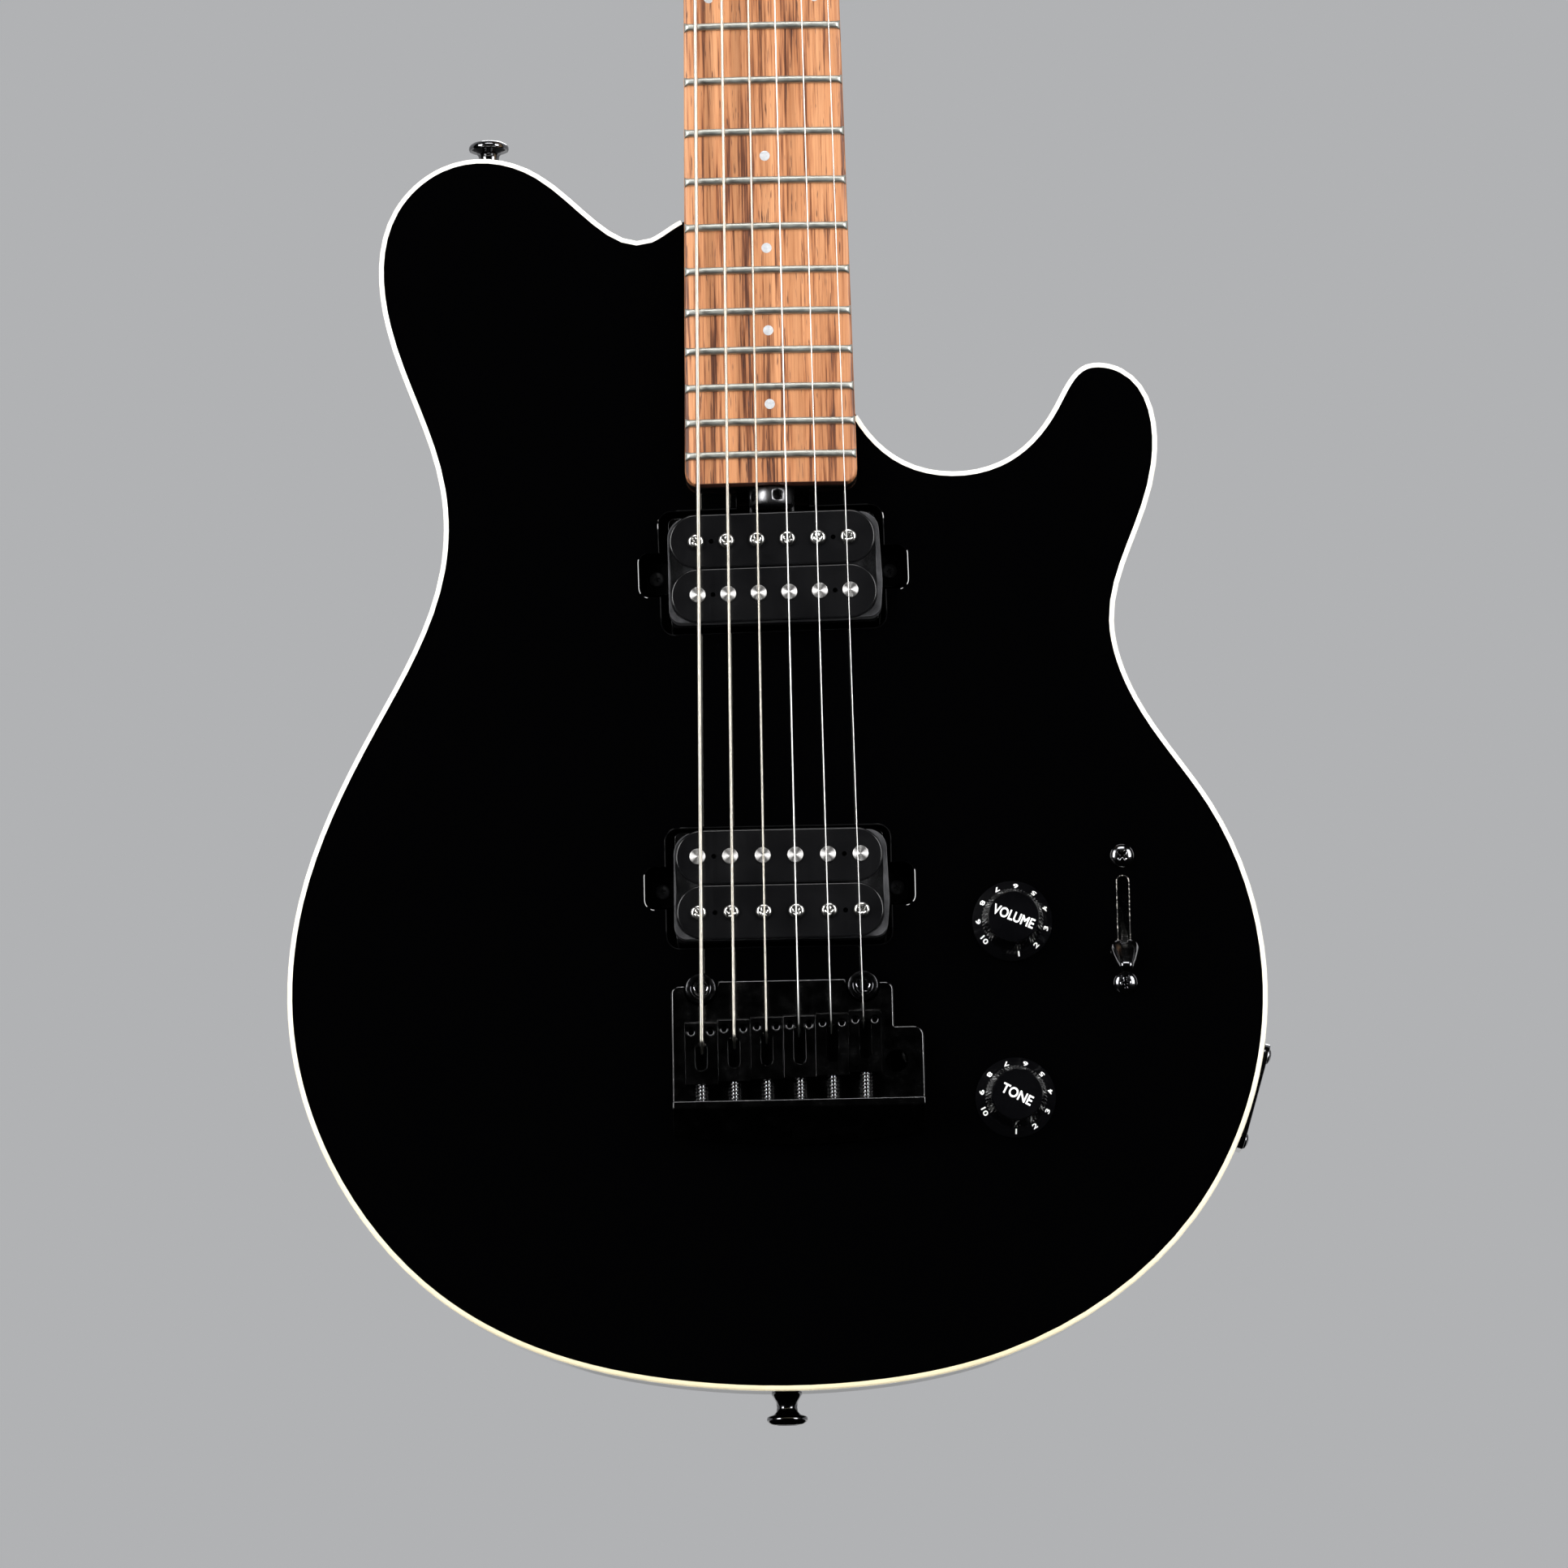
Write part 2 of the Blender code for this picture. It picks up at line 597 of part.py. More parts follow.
def make_string(index, head_matrix):
    radius = STRING_RADII[index]
    side, z = post_place(index)
    winding = side * (POST_X - POST_RADIUS - radius - GAP)
    post = head_matrix @ Vector((winding, -POST_REST, z + 1.5))
    nut_x, saddle_x = string_x(index, NUT_PITCH), string_x(index, SADDLE_PITCH)
    crest = SADDLE_CRESTS[index]
    over_nut = STRING_AT_NUT + board_crown(nut_x) - radius
    over_saddle = STRING_AT_SADDLE + board_crown(saddle_x) - radius
    points = [tuple(post), (nut_x, over_nut + 0.9, NUT_Z + NUT_DEPTH + 1.0),
              (nut_x, over_nut, NUT_Z), (saddle_x, over_saddle, crest + 0.4),
              (saddle_x, over_saddle + 1.2, crest - 1.2), (saddle_x, over_saddle + 3.4, crest - 3.6)]
    return rod("string_%d" % (index + 1), points, radius, "steel")


def make_tuner(index, head_frame):
    """Sealed housing with its bushing, the post in it and the key at its side."""
    side, z = post_place(index)
    label = "_%d" % (index + 1)
    x = side * POST_X
    back = HEAD_THICK + GAP
    half_x, half_z, deep = TUNER_CASE
    housing = prism("tuner_housing" + label,
                    rounded_box(x - half_x, x + half_x, z - half_z, z + half_z, 3, 2),
                    back, back + deep, "black_metal", head_frame)
    bush = turned("bush" + label, [(BUSH_RADIUS, -2.2), (BUSH_RADIUS, back + 1)], at=(x, 0, z),
                  axis=(0, 1, 0), steps=12, parent=head_frame)
    collar = turned("collar" + label, [(7.0, -2.2), (7.0, -GAP)], at=(x, 0, z), axis=(0, 1, 0),
                    steps=12, parent=head_frame)
    weld(housing, bush, collar)
    bore = turned("bore" + label, [(POST_RADIUS + GAP, -4), (POST_RADIUS + GAP, back + 8)], at=(x, 0, z),
                  axis=(0, 1, 0), steps=12, parent=head_frame)
    depth = back + KEY_DEPTH
    side_bore = turned("side_bore" + label, [(2.3, 5.0), (2.3, 12)], at=(x, depth, z),
                       axis=(side, 0, 0), steps=10, parent=head_frame)
    cut(housing, bore, side_bore)

    profile = [(POST_RADIUS, -(back + 7)), (POST_RADIUS, 4), (2.3, 6.2), (2.3, POST_REST + 1.2),
               (POST_RADIUS, POST_REST + 3.4), (POST_RADIUS - 0.4, POST_REST + 5)]
    turned("tuner_post" + label, profile, "black_metal", at=(x, 0, z), axis=(0, -1, 0), steps=12,
           parent=head_frame)

    stations = [(5.6, 1.9, 1.9), (10.5, 1.9, 1.9), (11.0, 2.9, 2.9), (14.0, 2.9, 2.9), (15.5, 2.2, 2.6),
                (17.0, 2.9, 6.5), (19.5, 3.4, 8.6), (24.5, 3.4, 9.2), (28.5, 2.9, 8.0), (30.5, 1.6, 5.4)]
    rings = []
    for along, deep, tall in stations:
        ring = [(side * along, deep * math.sin(a), tall * math.cos(a))
                for a in (2 * math.pi * k / 12 for k in range(12))]
        rings.append(ring)
    key = loft("tuner_key" + label, rings, "black_metal", head_frame)
    key.location = Vector((x, depth, z)) * MM


# ---------------------------------------------------------------- pickups

def make_pickup(label, centre, turn):
    """Base plate with screw ears, and two bobbins on their shared coil block."""
    place = empty(label + "_frame", (centre[0], 0, centre[1]), (0, -math.radians(turn), 0))
    half_x, half_z = BOBBIN_LENGTH / 2, BOBBIN_WIDTH / 2
    bobbins = box(label + "_pickup_bobbins", (-half_x + 4, BOBBIN_TOP + 2.2, -BOBBIN_PITCH / 2 - 6),
                  (half_x - 4, FRONT + 1.5, BOBBIN_PITCH / 2 + 6), "black_plastic", place)
    for side in (-1, 1):
        z = side * BOBBIN_PITCH / 2
        top = prism(label + "_bobbin", rounded_box(-half_x, half_x, z - half_z, z + half_z, half_z - 0.1, 6),
                    BOBBIN_TOP, BOBBIN_TOP + 3, "black_plastic", place)
        weld(bobbins, top)
    top = FRONT + 1.5 + GAP
    base = prism(label + "_pickup_base", rounded_box(-33.5, 33.5, -18, 18, 2, 2), top, top + BASE_THICK,
                 "black_metal", place)
    for side in (-1, 1):
        ends = sorted((side * 31.0, side * 33.5))
        leg = box("leg", (ends[0], top + 0.5, -5), (ends[1], EAR_FLOOR, 5), "black_metal", place)
        ends = sorted((side * 31.0, side * 41.5))
        ear = prism("ear", rounded_box(ends[0], ends[1], -5, 5, 2, 2), EAR_FLOOR - BASE_THICK, EAR_FLOOR,
                    "black_metal", place)
        weld(base, leg, ear)


# ---------------------------------------------------------------- tremolo

def make_tremolo():
    low = PLATE_TOP + PLATE_THICK
    side = [(low, PLATE_FRONT_Z), (PLATE_TOP, PLATE_FRONT_Z), (PLATE_TOP, RIDGE_FRONT_Z),
            (PLATE_TOP - RIDGE_HEIGHT, RIDGE_FRONT_Z), (PLATE_TOP - RIDGE_HEIGHT, RIDGE_REAR_Z),
            (low - 1.6, SKIRT_Z), (low, SKIRT_Z)]
    rings = [[(x, y, z) for y, z in side] for x in (PLATE_LEFT, PLATE_RIGHT)]
    plate = loft("tremolo_plate", rings, "black_metal")
    step = box("plate_step", (PLATE_STEP, low - 9, PLATE_STEP_Z), (PLATE_RIGHT + 2, low + 2, 75))
    cut(plate, step)
    for sign in (-1, 1):
        notch = turned("stud_notch", [(STUD_RADIUS + 0.9, -6), (STUD_RADIUS + 0.9, 6)],
                       at=(sign * STUD_X, PLATE_TOP, PIVOT_Z), steps=16)
        cut(plate, notch)
    arm = turned("arm_hole", [(ARM_HOLE_RADIUS, -30), (ARM_HOLE_RADIUS, 10)],
                 at=(ARM_HOLE[0], PLATE_TOP, ARM_HOLE[1]), steps=16)
    cut(plate, arm)

    block = box("tremolo_block", (-BLOCK_HALF, low + GAP, BLOCK_Z[0]),
                (BLOCK_HALF, BLOCK_BOTTOM, BLOCK_Z[1]), "black_metal")
    lug = box("arm_lug", (BLOCK_HALF - 3, low + GAP, ARM_HOLE[1] - 5.5),
              (LUG_RIGHT, low + LUG_DEPTH, BLOCK_Z[1]), "black_metal")
    weld(block, lug)
    cut(block, arm)

    for name, sign in (("bass", -1), ("treble", 1)):
        head = PLATE_TOP - 2.5 - FRONT
        profile = [(4.0, -19), (4.0, 0.3), (STUD_RADIUS, 0.3), (STUD_RADIUS, -head - 0.5),
                   (STUD_RADIUS - 0.5, -head), (1.9, -head), (1.9, -head - 2.5)]
        turned("pivot_stud_" + name, profile, "black_metal", at=(sign * STUD_X, FRONT, PIVOT_Z))


def make_saddle(index):
    """Block saddle with a slot for the string and two height screws under it."""
    x = SADDLE_X0 + (2.5 - index) * SADDLE_SPACING
    front = SADDLE_FRONTS[index]
    half = (SADDLE_SPACING - GAP) / 2
    bottom = PLATE_TOP - SADDLE_LIFT
    top = STRING_AT_SADDLE + board_crown(x) + GAP
    crest = SADDLE_CRESTS[index]
    side = [(bottom, front), (top + 1.4, front), (top, crest + 2.0), (top, front - SADDLE_LENGTH),
            (bottom, front - SADDLE_LENGTH)]
    rings = [[(x + s * half, y, z) for y, z in side] for s in (-1, 1)]
    saddle = loft("saddle_%d" % (index + 1), rings, "black_metal")
    screws = [turned("height_screw", [(1.5, 0.35 - SADDLE_LIFT), (1.5, 2.0)],
                     at=(x + s * HEIGHT_SCREW_X, bottom, front - 3.4), steps=10) for s in (-1, 1)]
    weld(saddle, *screws)
    slot = box("saddle_slot", (x - SLOT_WIDTH / 2, top - 3, front - 15.9),
               (x + SLOT_WIDTH / 2, bottom - 1.2, crest + 0.6))
    cut(saddle, slot)


def make_springs():
    claw = box("spring_claw", (-CLAW_HALF, SPRING_Y - 5, CLAW_Z[0]), (CLAW_HALF, SPRING_Y + 5, CLAW_Z[1]),
               "black_metal")
    for side in (-1, 1):
        weld(claw, turned("claw_screw", [(2.0, 162), (2.0, 171.6)], at=(side * 8, SPRING_Y, 0),
                          axis=(0, 0, 1), steps=10))
    for number, x in enumerate(SPRING_XS, 1):
        profile = [(SPRING_RADIUS - 2, SPRING_Z[0]), (SPRING_RADIUS, SPRING_Z[0] + 4),
                   (SPRING_RADIUS, SPRING_Z[1] - 4), (SPRING_RADIUS - 2, SPRING_Z[1])]
        turned("tremolo_spring_%d" % number, profile, "steel", at=(x, SPRING_Y, 0), axis=(0, 0, 1),
               steps=10)


def make_covers():
    x0, x1, z0, z1 = TREMOLO_COVER
    y0, y1 = COVER_FACE - COVER_THICK, COVER_FACE
    rear = prism("tremolo_cover", rounded_box(x0 + GAP, x1 - GAP, z0 + GAP, z1 - GAP, 6.7), y0, y1,
                 "black_plastic")
    cut(rear, prism("string_slot", rounded_box(-32, 32, 37, 49, 5.9), y0 - 2, y1 + 2))
    prism("control_cover", fillet(grown(CONTROL_CAVITY, 6 - 2 * GAP)), y0, y1, "black_plastic")


# ---------------------------------------------------------------- controls

def make_knob(label, place):
    """Skirted knob hollow below, with the pot's shaft fixed in it, and the pot it turns."""
    x, z = place
    profile = [(3.0, -15.0), (3.0, 4.5), (7.0, 4.5), (7.0, GAP), (KNOB_RADIUS, GAP),
               (KNOB_RADIUS, 1.3), (10.6, 4.2), (9.9, 5.0), (9.2, KNOB_HEIGHT - 0.8),
               (8.4, KNOB_HEIGHT), (7.6, KNOB_HEIGHT - 0.2)]
    turned(label + "_knob", profile, "black_plastic", at=(x, FRONT, z), steps=24)
    inner = -(TOP_SKIN + GAP)
    profile = [(POT_RADIUS, inner - POT_DEPTH), (POT_RADIUS, inner), (3.7, inner), (3.7, 3.0),
               (3.3, 3.0), (3.3, -15.6)]
    turned(label + "_pot", profile, "steel", at=(x, FRONT, z), steps=16)


def make_selector():
    x, z = SWITCH_AT
    inner = FRONT + TOP_SKIN + GAP
    half_x, half_z, deep = SWITCH_CASE
    switch = box("selector_switch", (x - half_x, inner, z - half_z), (x + half_x, inner + deep, z + half_z),
                 "steel")
    cut(switch, box("lever_bay", (x - 3.2, inner - 2, z - 17), (x + 3.2, inner + 21, z + 17)))
    pivot = empty("lever_frame", (x, SWITCH_PIVOT, z), (math.radians(LEVER_LEAN), 0, 0))
    stations = [(-3.0, 1.2, 2.5), (3.0, 1.2, 3.2), (19.8, 1.2, 3.2), (20.6, 2.6, 2.8), (22.5, 3.4, 3.2),
                (28.5, 4.4, 4.4), (30.0, 3.6, 3.6)]
    rings = [[(sx * wide, -along, sz * tall) for sx, sz in ((-1, -1), (1, -1), (1, 1), (-1, 1))]
             for along, wide, tall in stations]
    loft("selector_lever", rings, "black_metal", pivot)


def make_output_jack():
    plate = prism("jack_plate", rounded_box(-11.5, 11.5, -17.7, 17.7, 5.0), -1.0 + GAP, 0.9,
                  "black_metal")
    orient_on_rim(plate, 0.0)
    start = Vector((JACK_AT[0], JACK_Y, JACK_AT[1]))
    along = jack_direction()
    under = -DISH_DEPTH - DISH_WALL
    outside = DISH_RADIUS + DISH_WALL
    weld(plate, turned("dish", [(outside, under), (outside, 0)], at=start, axis=along))
    cut(plate, turned("dish_bowl", [(DISH_RADIUS, -DISH_DEPTH), (DISH_RADIUS, 4)], at=start, axis=along),
        turned("plate_hole", [(5.0, -9), (5.0, 4)], at=start, axis=along))
    case, seat = under - GAP, -DISH_DEPTH + GAP
    profile = [(8.0, case - 16), (8.0, case), (4.7, case), (4.7, seat), (6.6, seat), (6.6, seat + 1.8),
               (5.6, seat + 2.2), (3.4, seat + 2.2), (3.4, case - 14)]
    turned("output_jack", profile, "steel", at=start, axis=along, steps=16)


def make_strap_buttons():
    profile = [(4.8, 0.35), (3.4, 3.2), (3.4, 6.2), (6.2, 7.4), (6.6, 8.6), (6.0, 10.0), (4.6, 10.6)]
    turned("strap_button_upper", profile, "black_metal", at=STRAP_UPPER, axis=(0, 0, 1))
    turned("strap_button_end", profile, "black_metal", at=STRAP_END, axis=(0, 0, -1))


# ---------------------------------------------------------------- assembly

def main():
    for leftover in list(bpy.data.objects):
        bpy.data.objects.remove(leftover, do_unlink=True)
    head_frame = empty("headstock_frame", (0, NECK_TOP, NUT_Z + NUT_DEPTH),
                       (-math.radians(HEAD_TILT), 0, 0))
    head_matrix = (Matrix.Translation(Vector((0, NECK_TOP, NUT_Z + NUT_DEPTH)))
                   @ Matrix.Rotation(-math.radians(HEAD_TILT), 4, "X"))
    make_body()
    make_binding()
    make_neck(head_frame)
    make_fretboard()
    make_nut()
    make_truss_rod()
    for index in range(6):
        make_string(index, head_matrix)
        make_tuner(index, head_frame)
        make_saddle(index)
    make_pickup("neck", NECK_PICKUP, NECK_PICKUP_TURN)
    make_pickup("bridge", BRIDGE_PICKUP, 0.0)
    make_tremolo()
    make_springs()
    make_covers()
    make_knob("volume", VOLUME_AT)
    make_knob("tone", TONE_AT)
    make_selector()
    make_output_jack()
    make_strap_buttons()


main()
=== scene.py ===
"""Looks of the electric guitar: fine meshes, small fittings, materials, light and camera."""
import json
import math

import bmesh
import bpy
import numpy as np
from mathutils import Matrix, Vector


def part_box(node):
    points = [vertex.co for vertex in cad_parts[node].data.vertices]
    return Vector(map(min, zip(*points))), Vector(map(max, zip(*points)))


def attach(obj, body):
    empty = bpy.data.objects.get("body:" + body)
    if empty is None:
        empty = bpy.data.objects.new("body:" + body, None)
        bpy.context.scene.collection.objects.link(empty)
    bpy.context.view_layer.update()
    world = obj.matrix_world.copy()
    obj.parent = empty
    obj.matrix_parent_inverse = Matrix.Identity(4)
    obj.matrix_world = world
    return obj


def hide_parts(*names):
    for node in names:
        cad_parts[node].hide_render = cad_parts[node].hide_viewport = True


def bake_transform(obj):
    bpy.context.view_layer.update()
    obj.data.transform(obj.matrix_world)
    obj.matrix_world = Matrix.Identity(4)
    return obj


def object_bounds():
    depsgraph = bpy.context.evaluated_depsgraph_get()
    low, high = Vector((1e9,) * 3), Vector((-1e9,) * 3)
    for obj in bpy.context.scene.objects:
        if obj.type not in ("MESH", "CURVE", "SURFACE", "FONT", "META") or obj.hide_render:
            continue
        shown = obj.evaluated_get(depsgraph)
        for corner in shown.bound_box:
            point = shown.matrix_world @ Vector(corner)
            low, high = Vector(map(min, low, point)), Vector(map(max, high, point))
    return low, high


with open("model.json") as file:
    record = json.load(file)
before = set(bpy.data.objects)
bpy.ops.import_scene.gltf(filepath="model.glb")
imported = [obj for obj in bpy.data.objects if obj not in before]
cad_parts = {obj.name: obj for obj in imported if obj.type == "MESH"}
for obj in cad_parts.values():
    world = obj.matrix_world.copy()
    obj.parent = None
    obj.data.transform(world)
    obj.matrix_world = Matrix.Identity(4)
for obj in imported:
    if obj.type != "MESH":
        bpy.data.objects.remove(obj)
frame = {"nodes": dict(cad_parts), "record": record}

CAD_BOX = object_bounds()
MM = 0.001
ROOT = "guitar"
SIDES = (("bass", -1), ("treble", 1))
EVEN = (1.0, 1.0, 1.0)


def stand(name, data):
    """New object in the scene for a mesh, curve, light or camera."""
    made = bpy.data.objects.new(name, data)
    bpy.context.scene.collection.objects.link(made)
    return made


def extent(node):
    """Lowest and highest corner of a CAD node, in millimetres."""
    low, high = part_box(node)
    return np.array(low) / MM, np.array(high) / MM


def middle(node):
    low, high = extent(node)
    return (low + high) / 2


# ---------------------------------------------------------------- sizes, in millimetres

FRONT = float(extent("body")[0][1])
BINDING_WIDTH = 1.6
BINDING_DEPTH = 5.3
BACK_ROUND = 5.0
LIP = 0.45                    # rounding of the lacquer at each opening
BODY_EDGE = [
    (2.0, 309.0), (-14.0, 320.0), (-24.5, 323.0), (-38.0, 316.0),                 # heel, bass side
    (-74.0, 338.0), (-106.0, 341.0), (-121.5, 327.0), (-124.5, 288.0),            # upper horn
    (-107.5, 234.0), (-108.0, 207.5), (-131.0, 156.0), (-155.0, 100.5),           # bass waist
    (-158.5, 57.5), (-146.5, 15.5), (-112.0, -28.0), (-81.5, -45.5),              # lower bout
    (-32.0, -57.5), (30.0, -58.0), (70.0, -49.5), (131.0, -7.0),                  # end of the body
    (149.5, 27.5), (156.0, 72.5), (140.0, 126.5), (117.0, 161.5),                 # treble bout
    (110.0, 186.5), (125.0, 237.5), (115.0, 269.5), (103.0, 271.0),               # lower horn
    (92.5, 257.5), (74.0, 239.5), (43.5, 240.5), (25.5, 262.5), (19.0, 285.0),    # cutaway, heel
    (2.0, 309.0)]

SCALE_LENGTH = 647.7
NUT_Z = float(extent("nut")[0][2])
NUT_DEPTH = 3.5
SADDLE_LINE = NUT_Z - SCALE_LENGTH
FRET_COUNT = 22
FRET_WIDTH = 2.5
FRET_HEIGHT = 1.1
BOARD_END = float(extent("fretboard")[0][2])
BOARD_TOP = float(extent("fretboard")[0][1]) + FRET_HEIGHT
BOARD_THICK = 6.0
BOARD_RADIUS = 305.0
BOARD_CORNER = 4.5
DOT_FRETS = (3, 5, 7, 9, 12, 15, 17, 19, 21)
DOT_RADIUS = 1.65
NECK_TOP = BOARD_TOP + BOARD_THICK
NECK_END_WIDTH = 55.9
NECK_TAPER = 0.03135
HEEL_FLOOR = -28.5
HEEL_TOP = 316.0
POCKET_TOP = 345.0            # the neck pocket's cutter ends above the body's edge
END_STEPS = (0, 0.15, 0.5, 1.1, 1.9, 3.0, 4.5)       # sections round the corners at the neck's end

HEAD_TILT = 6.0
HEAD_THICK = 14.0
HEAD_HALF = [(20.4, 0.5), (22.0, 8.0), (30.5, 24.0), (35.0, 50.0), (36.0, 92.0),
             (36.4, 132.0), (31.0, 149.0), (14.0, 158.0), (0.0, 160.5)]
POST_X = 22.0
POST_Z = (38.0, 80.0, 122.0)
POST_RADIUS = 3.0
POST_WAIST = 2.3
POST_REST = 8.0
KEY_DEPTH = HEAD_THICK + 5.8

STRING_RADII = (0.13, 0.17, 0.22, 0.33, 0.46, 0.58)
WOUND_FROM = 3                # string_4 and up are wound
SADDLE_PITCH = 10.35
NUT_PITCH = 7.05
STRING_AT_SADDLE = FRONT - 13.4
STRING_AT_NUT = BOARD_TOP - 1.9

BOBBIN_LENGTH = 66.6
BOBBIN_WIDTH = 17.6
BOBBIN_PITCH = 17.8
BOBBIN_TOP = float(extent("bridge_pickup_bobbins")[0][1])
FLANGE_FLOOR = BOBBIN_TOP + 1.6
COIL_FLOOR = FRONT + 1.4
CAVITY_FLOOR = FRONT + 20.0
BASE_TOP = FRONT + 1.8
BASE_THICK = 1.6
EAR_FLOOR = FRONT + 14.0
NECK_PICKUP = (0.0, 205.6)
BRIDGE_PICKUP = (0.0, 102.4)
NECK_PICKUP_TURN = 0.9

PLATE_TOP = FRONT - 6.0
PLATE_THICK = 3.0
PIVOT = middle("pivot_stud_treble")
STUD_X = float(PIVOT[0])
STUD_RADIUS = 4.8
ARM_HOLE = (36.3, 44.6)
SADDLE_CRESTS = (58.0, 56.7, 56.0, 54.3, 52.9, 51.4)
SADDLE_HALF = 5.1
SLOT_HALF = 1.95
WELL_OUT = 3.1                # height screws: distance from the saddle's middle and front
WELL_BACK = 3.3
SPRING_SEAT = 32.4            # tail end of the length screws' springs

TREMOLO_CAVITY = (-35.0, 35.0, 24.0, 172.0)
TREMOLO_COVER = (-41.0, 41.0, 18.0, 178.0)
CONTROL_CAVITY = [(56, 14, 12), (104, 10, 12), (131, 34, 14), (131, 100, 14), (118, 122, 10),
                  (98, 122, 10), (88, 106, 8), (56, 104, 12)]
COVER_RECESS = 2.4
TOP_SKIN = 6.0
LEVER_LEAN = 24.0             # degrees
FIGURE_HEIGHT = 3.75          # the numbers' height on a knob's skirt
FIGURE_STEP = 32.8            # degrees from one number to the next
SWITCH_AT = (110.4, 89.2)
SWITCH_PIVOT = FRONT + 16.0
SWITCH_SCREWS = (109.7, 68.6)
JACK_CENTRE = Vector((151.7, -22.0, 32.5))
JACK_TURN = math.radians(-16.8)
RIM_OUT = Vector((math.cos(JACK_TURN), 0, math.sin(JACK_TURN)))      # out of the rim at the jack
JACK_SCREWS = 14.2            # distance of each screw from the middle of the plate
DISH_RADIUS = 9.0
DISH_DEPTH = 5.2
DISH_WALL = 0.8

CAMERA_LEAN = 7.405           # degrees that the view looks up
CAMERA_ROLL = 1.1925          # degrees
CAMERA_AIM = (2.06, 74.153)   # x, and height above the saddle line
CAMERA_REACH = 1.9776         # metres from the point aimed at
CAMERA_LENS = 141.38


# ---------------------------------------------------------------- materials

def start_look(name, color, roughness, metallic=0.0, **constants):
    """New material with its constant values on the shader's own sockets."""
    look = bpy.data.materials.new(name)
    look.use_nodes = True
    tree = look.node_tree
    shader = tree.nodes["Principled BSDF"]
    shader.inputs["Base Color"].default_value = (*color, 1.0)
    shader.inputs["Roughness"].default_value = roughness
    shader.inputs["Metallic"].default_value = metallic
    for key, value in constants.items():
        shader.inputs[key.replace("_", " ").title().replace("Ior", "IOR")].default_value = value
    return look, tree, shader


def paint(tree, shader, color=None, roughness=None):
    """Link a colour and a roughness that vary over the surface."""
    for name, source in (("Base Color", color), ("Roughness", roughness)):
        if source is not None:
            tree.links.new(source, shader.inputs[name])


def height_of(tree):
    """Height up the guitar, in metres."""
    coords = tree.nodes.new("ShaderNodeTexCoord")
    split = tree.nodes.new("ShaderNodeSeparateXYZ")
    tree.links.new(coords.outputs["Object"], split.inputs["Vector"])
    return split.outputs["Z"]


def scaled_noise(tree, stretch, scale, detail=4.0, rough=0.55):
    """Noise over the object's own coordinates, stretched along one axis."""
    coords = tree.nodes.new("ShaderNodeTexCoord")
    mapping = tree.nodes.new("ShaderNodeMapping")
    mapping.inputs["Scale"].default_value = stretch
    noise = tree.nodes.new("ShaderNodeTexNoise")
    noise.inputs["Scale"].default_value = scale
    noise.inputs["Detail"].default_value = detail
    noise.inputs["Roughness"].default_value = rough
    tree.links.new(coords.outputs["Object"], mapping.inputs["Vector"])
    tree.links.new(mapping.outputs["Vector"], noise.inputs["Vector"])
    return noise.outputs["Fac"]


def ramp(tree, source, stops):
    """Colour ramp with (position, colour) stops."""
    made = tree.nodes.new("ShaderNodeValToRGB")
    elements = made.color_ramp.elements
    while len(elements) < len(stops):
        elements.new(0.5)
    for element, (position, color) in zip(elements, stops):
        element.position = position
        element.color = (*color, 1.0)
    tree.links.new(source, made.inputs["Fac"])
    return made.outputs["Color"]


def span(tree, source, low, high, start=0.3, end=0.7):
    """Map a noise value to a plain range."""
    made = tree.nodes.new("ShaderNodeMapRange")
    made.inputs["From Min"].default_value = start
    made.inputs["From Max"].default_value = end
    made.inputs["To Min"].default_value = low
    made.inputs["To Max"].default_value = high
    tree.links.new(source, made.inputs["Value"])
    return made.outputs["Result"]


def mix(tree, kind, amount, first, second):
    """Colour mix of two sockets or plain colours."""
    made = tree.nodes.new("ShaderNodeMix")
    made.data_type = "RGBA"
    made.blend_type = kind
    for socket, value in (("Factor", amount), ("A", first), ("B", second)):
        slots = [s for s in made.inputs if s.name == socket and s.enabled]
        slot = slots[-1] if socket != "Factor" else slots[0]
        if isinstance(value, (int, float)):
            slot.default_value = value
        elif isinstance(value, tuple):
            slot.default_value = (*value, 1.0)
        else:
            tree.links.new(value, slot)
    return [s for s in made.outputs if s.enabled][-1]


def bump(tree, shader, source, distance, strength=1.0):
    made = tree.nodes.new("ShaderNodeBump")
    made.inputs["Strength"].default_value = strength
    made.inputs["Distance"].default_value = distance * MM
    tree.links.new(source, made.inputs["Height"])
    tree.links.new(made.outputs["Normal"], shader.inputs["Normal"])


def lacquer():
    """Deep gloss black with faint wiping marks and a few specks of dust."""
    look, tree, shader = start_look("black_lacquer", (0.0004, 0.0004, 0.0005), 0.05,
                                    coat_weight=0.6, coat_roughness=0.02)
    smears = scaled_noise(tree, (1.0, 1.0, 0.35), 26.0, 5.0)
    specks = scaled_noise(tree, EVEN, 1500.0, 1.0)
    dust = ramp(tree, specks, [(0.80, (0.0004, 0.0004, 0.0005)), (0.86, (0.012, 0.012, 0.013))])
    paint(tree, shader, dust, span(tree, smears, 0.03, 0.10))
    return look


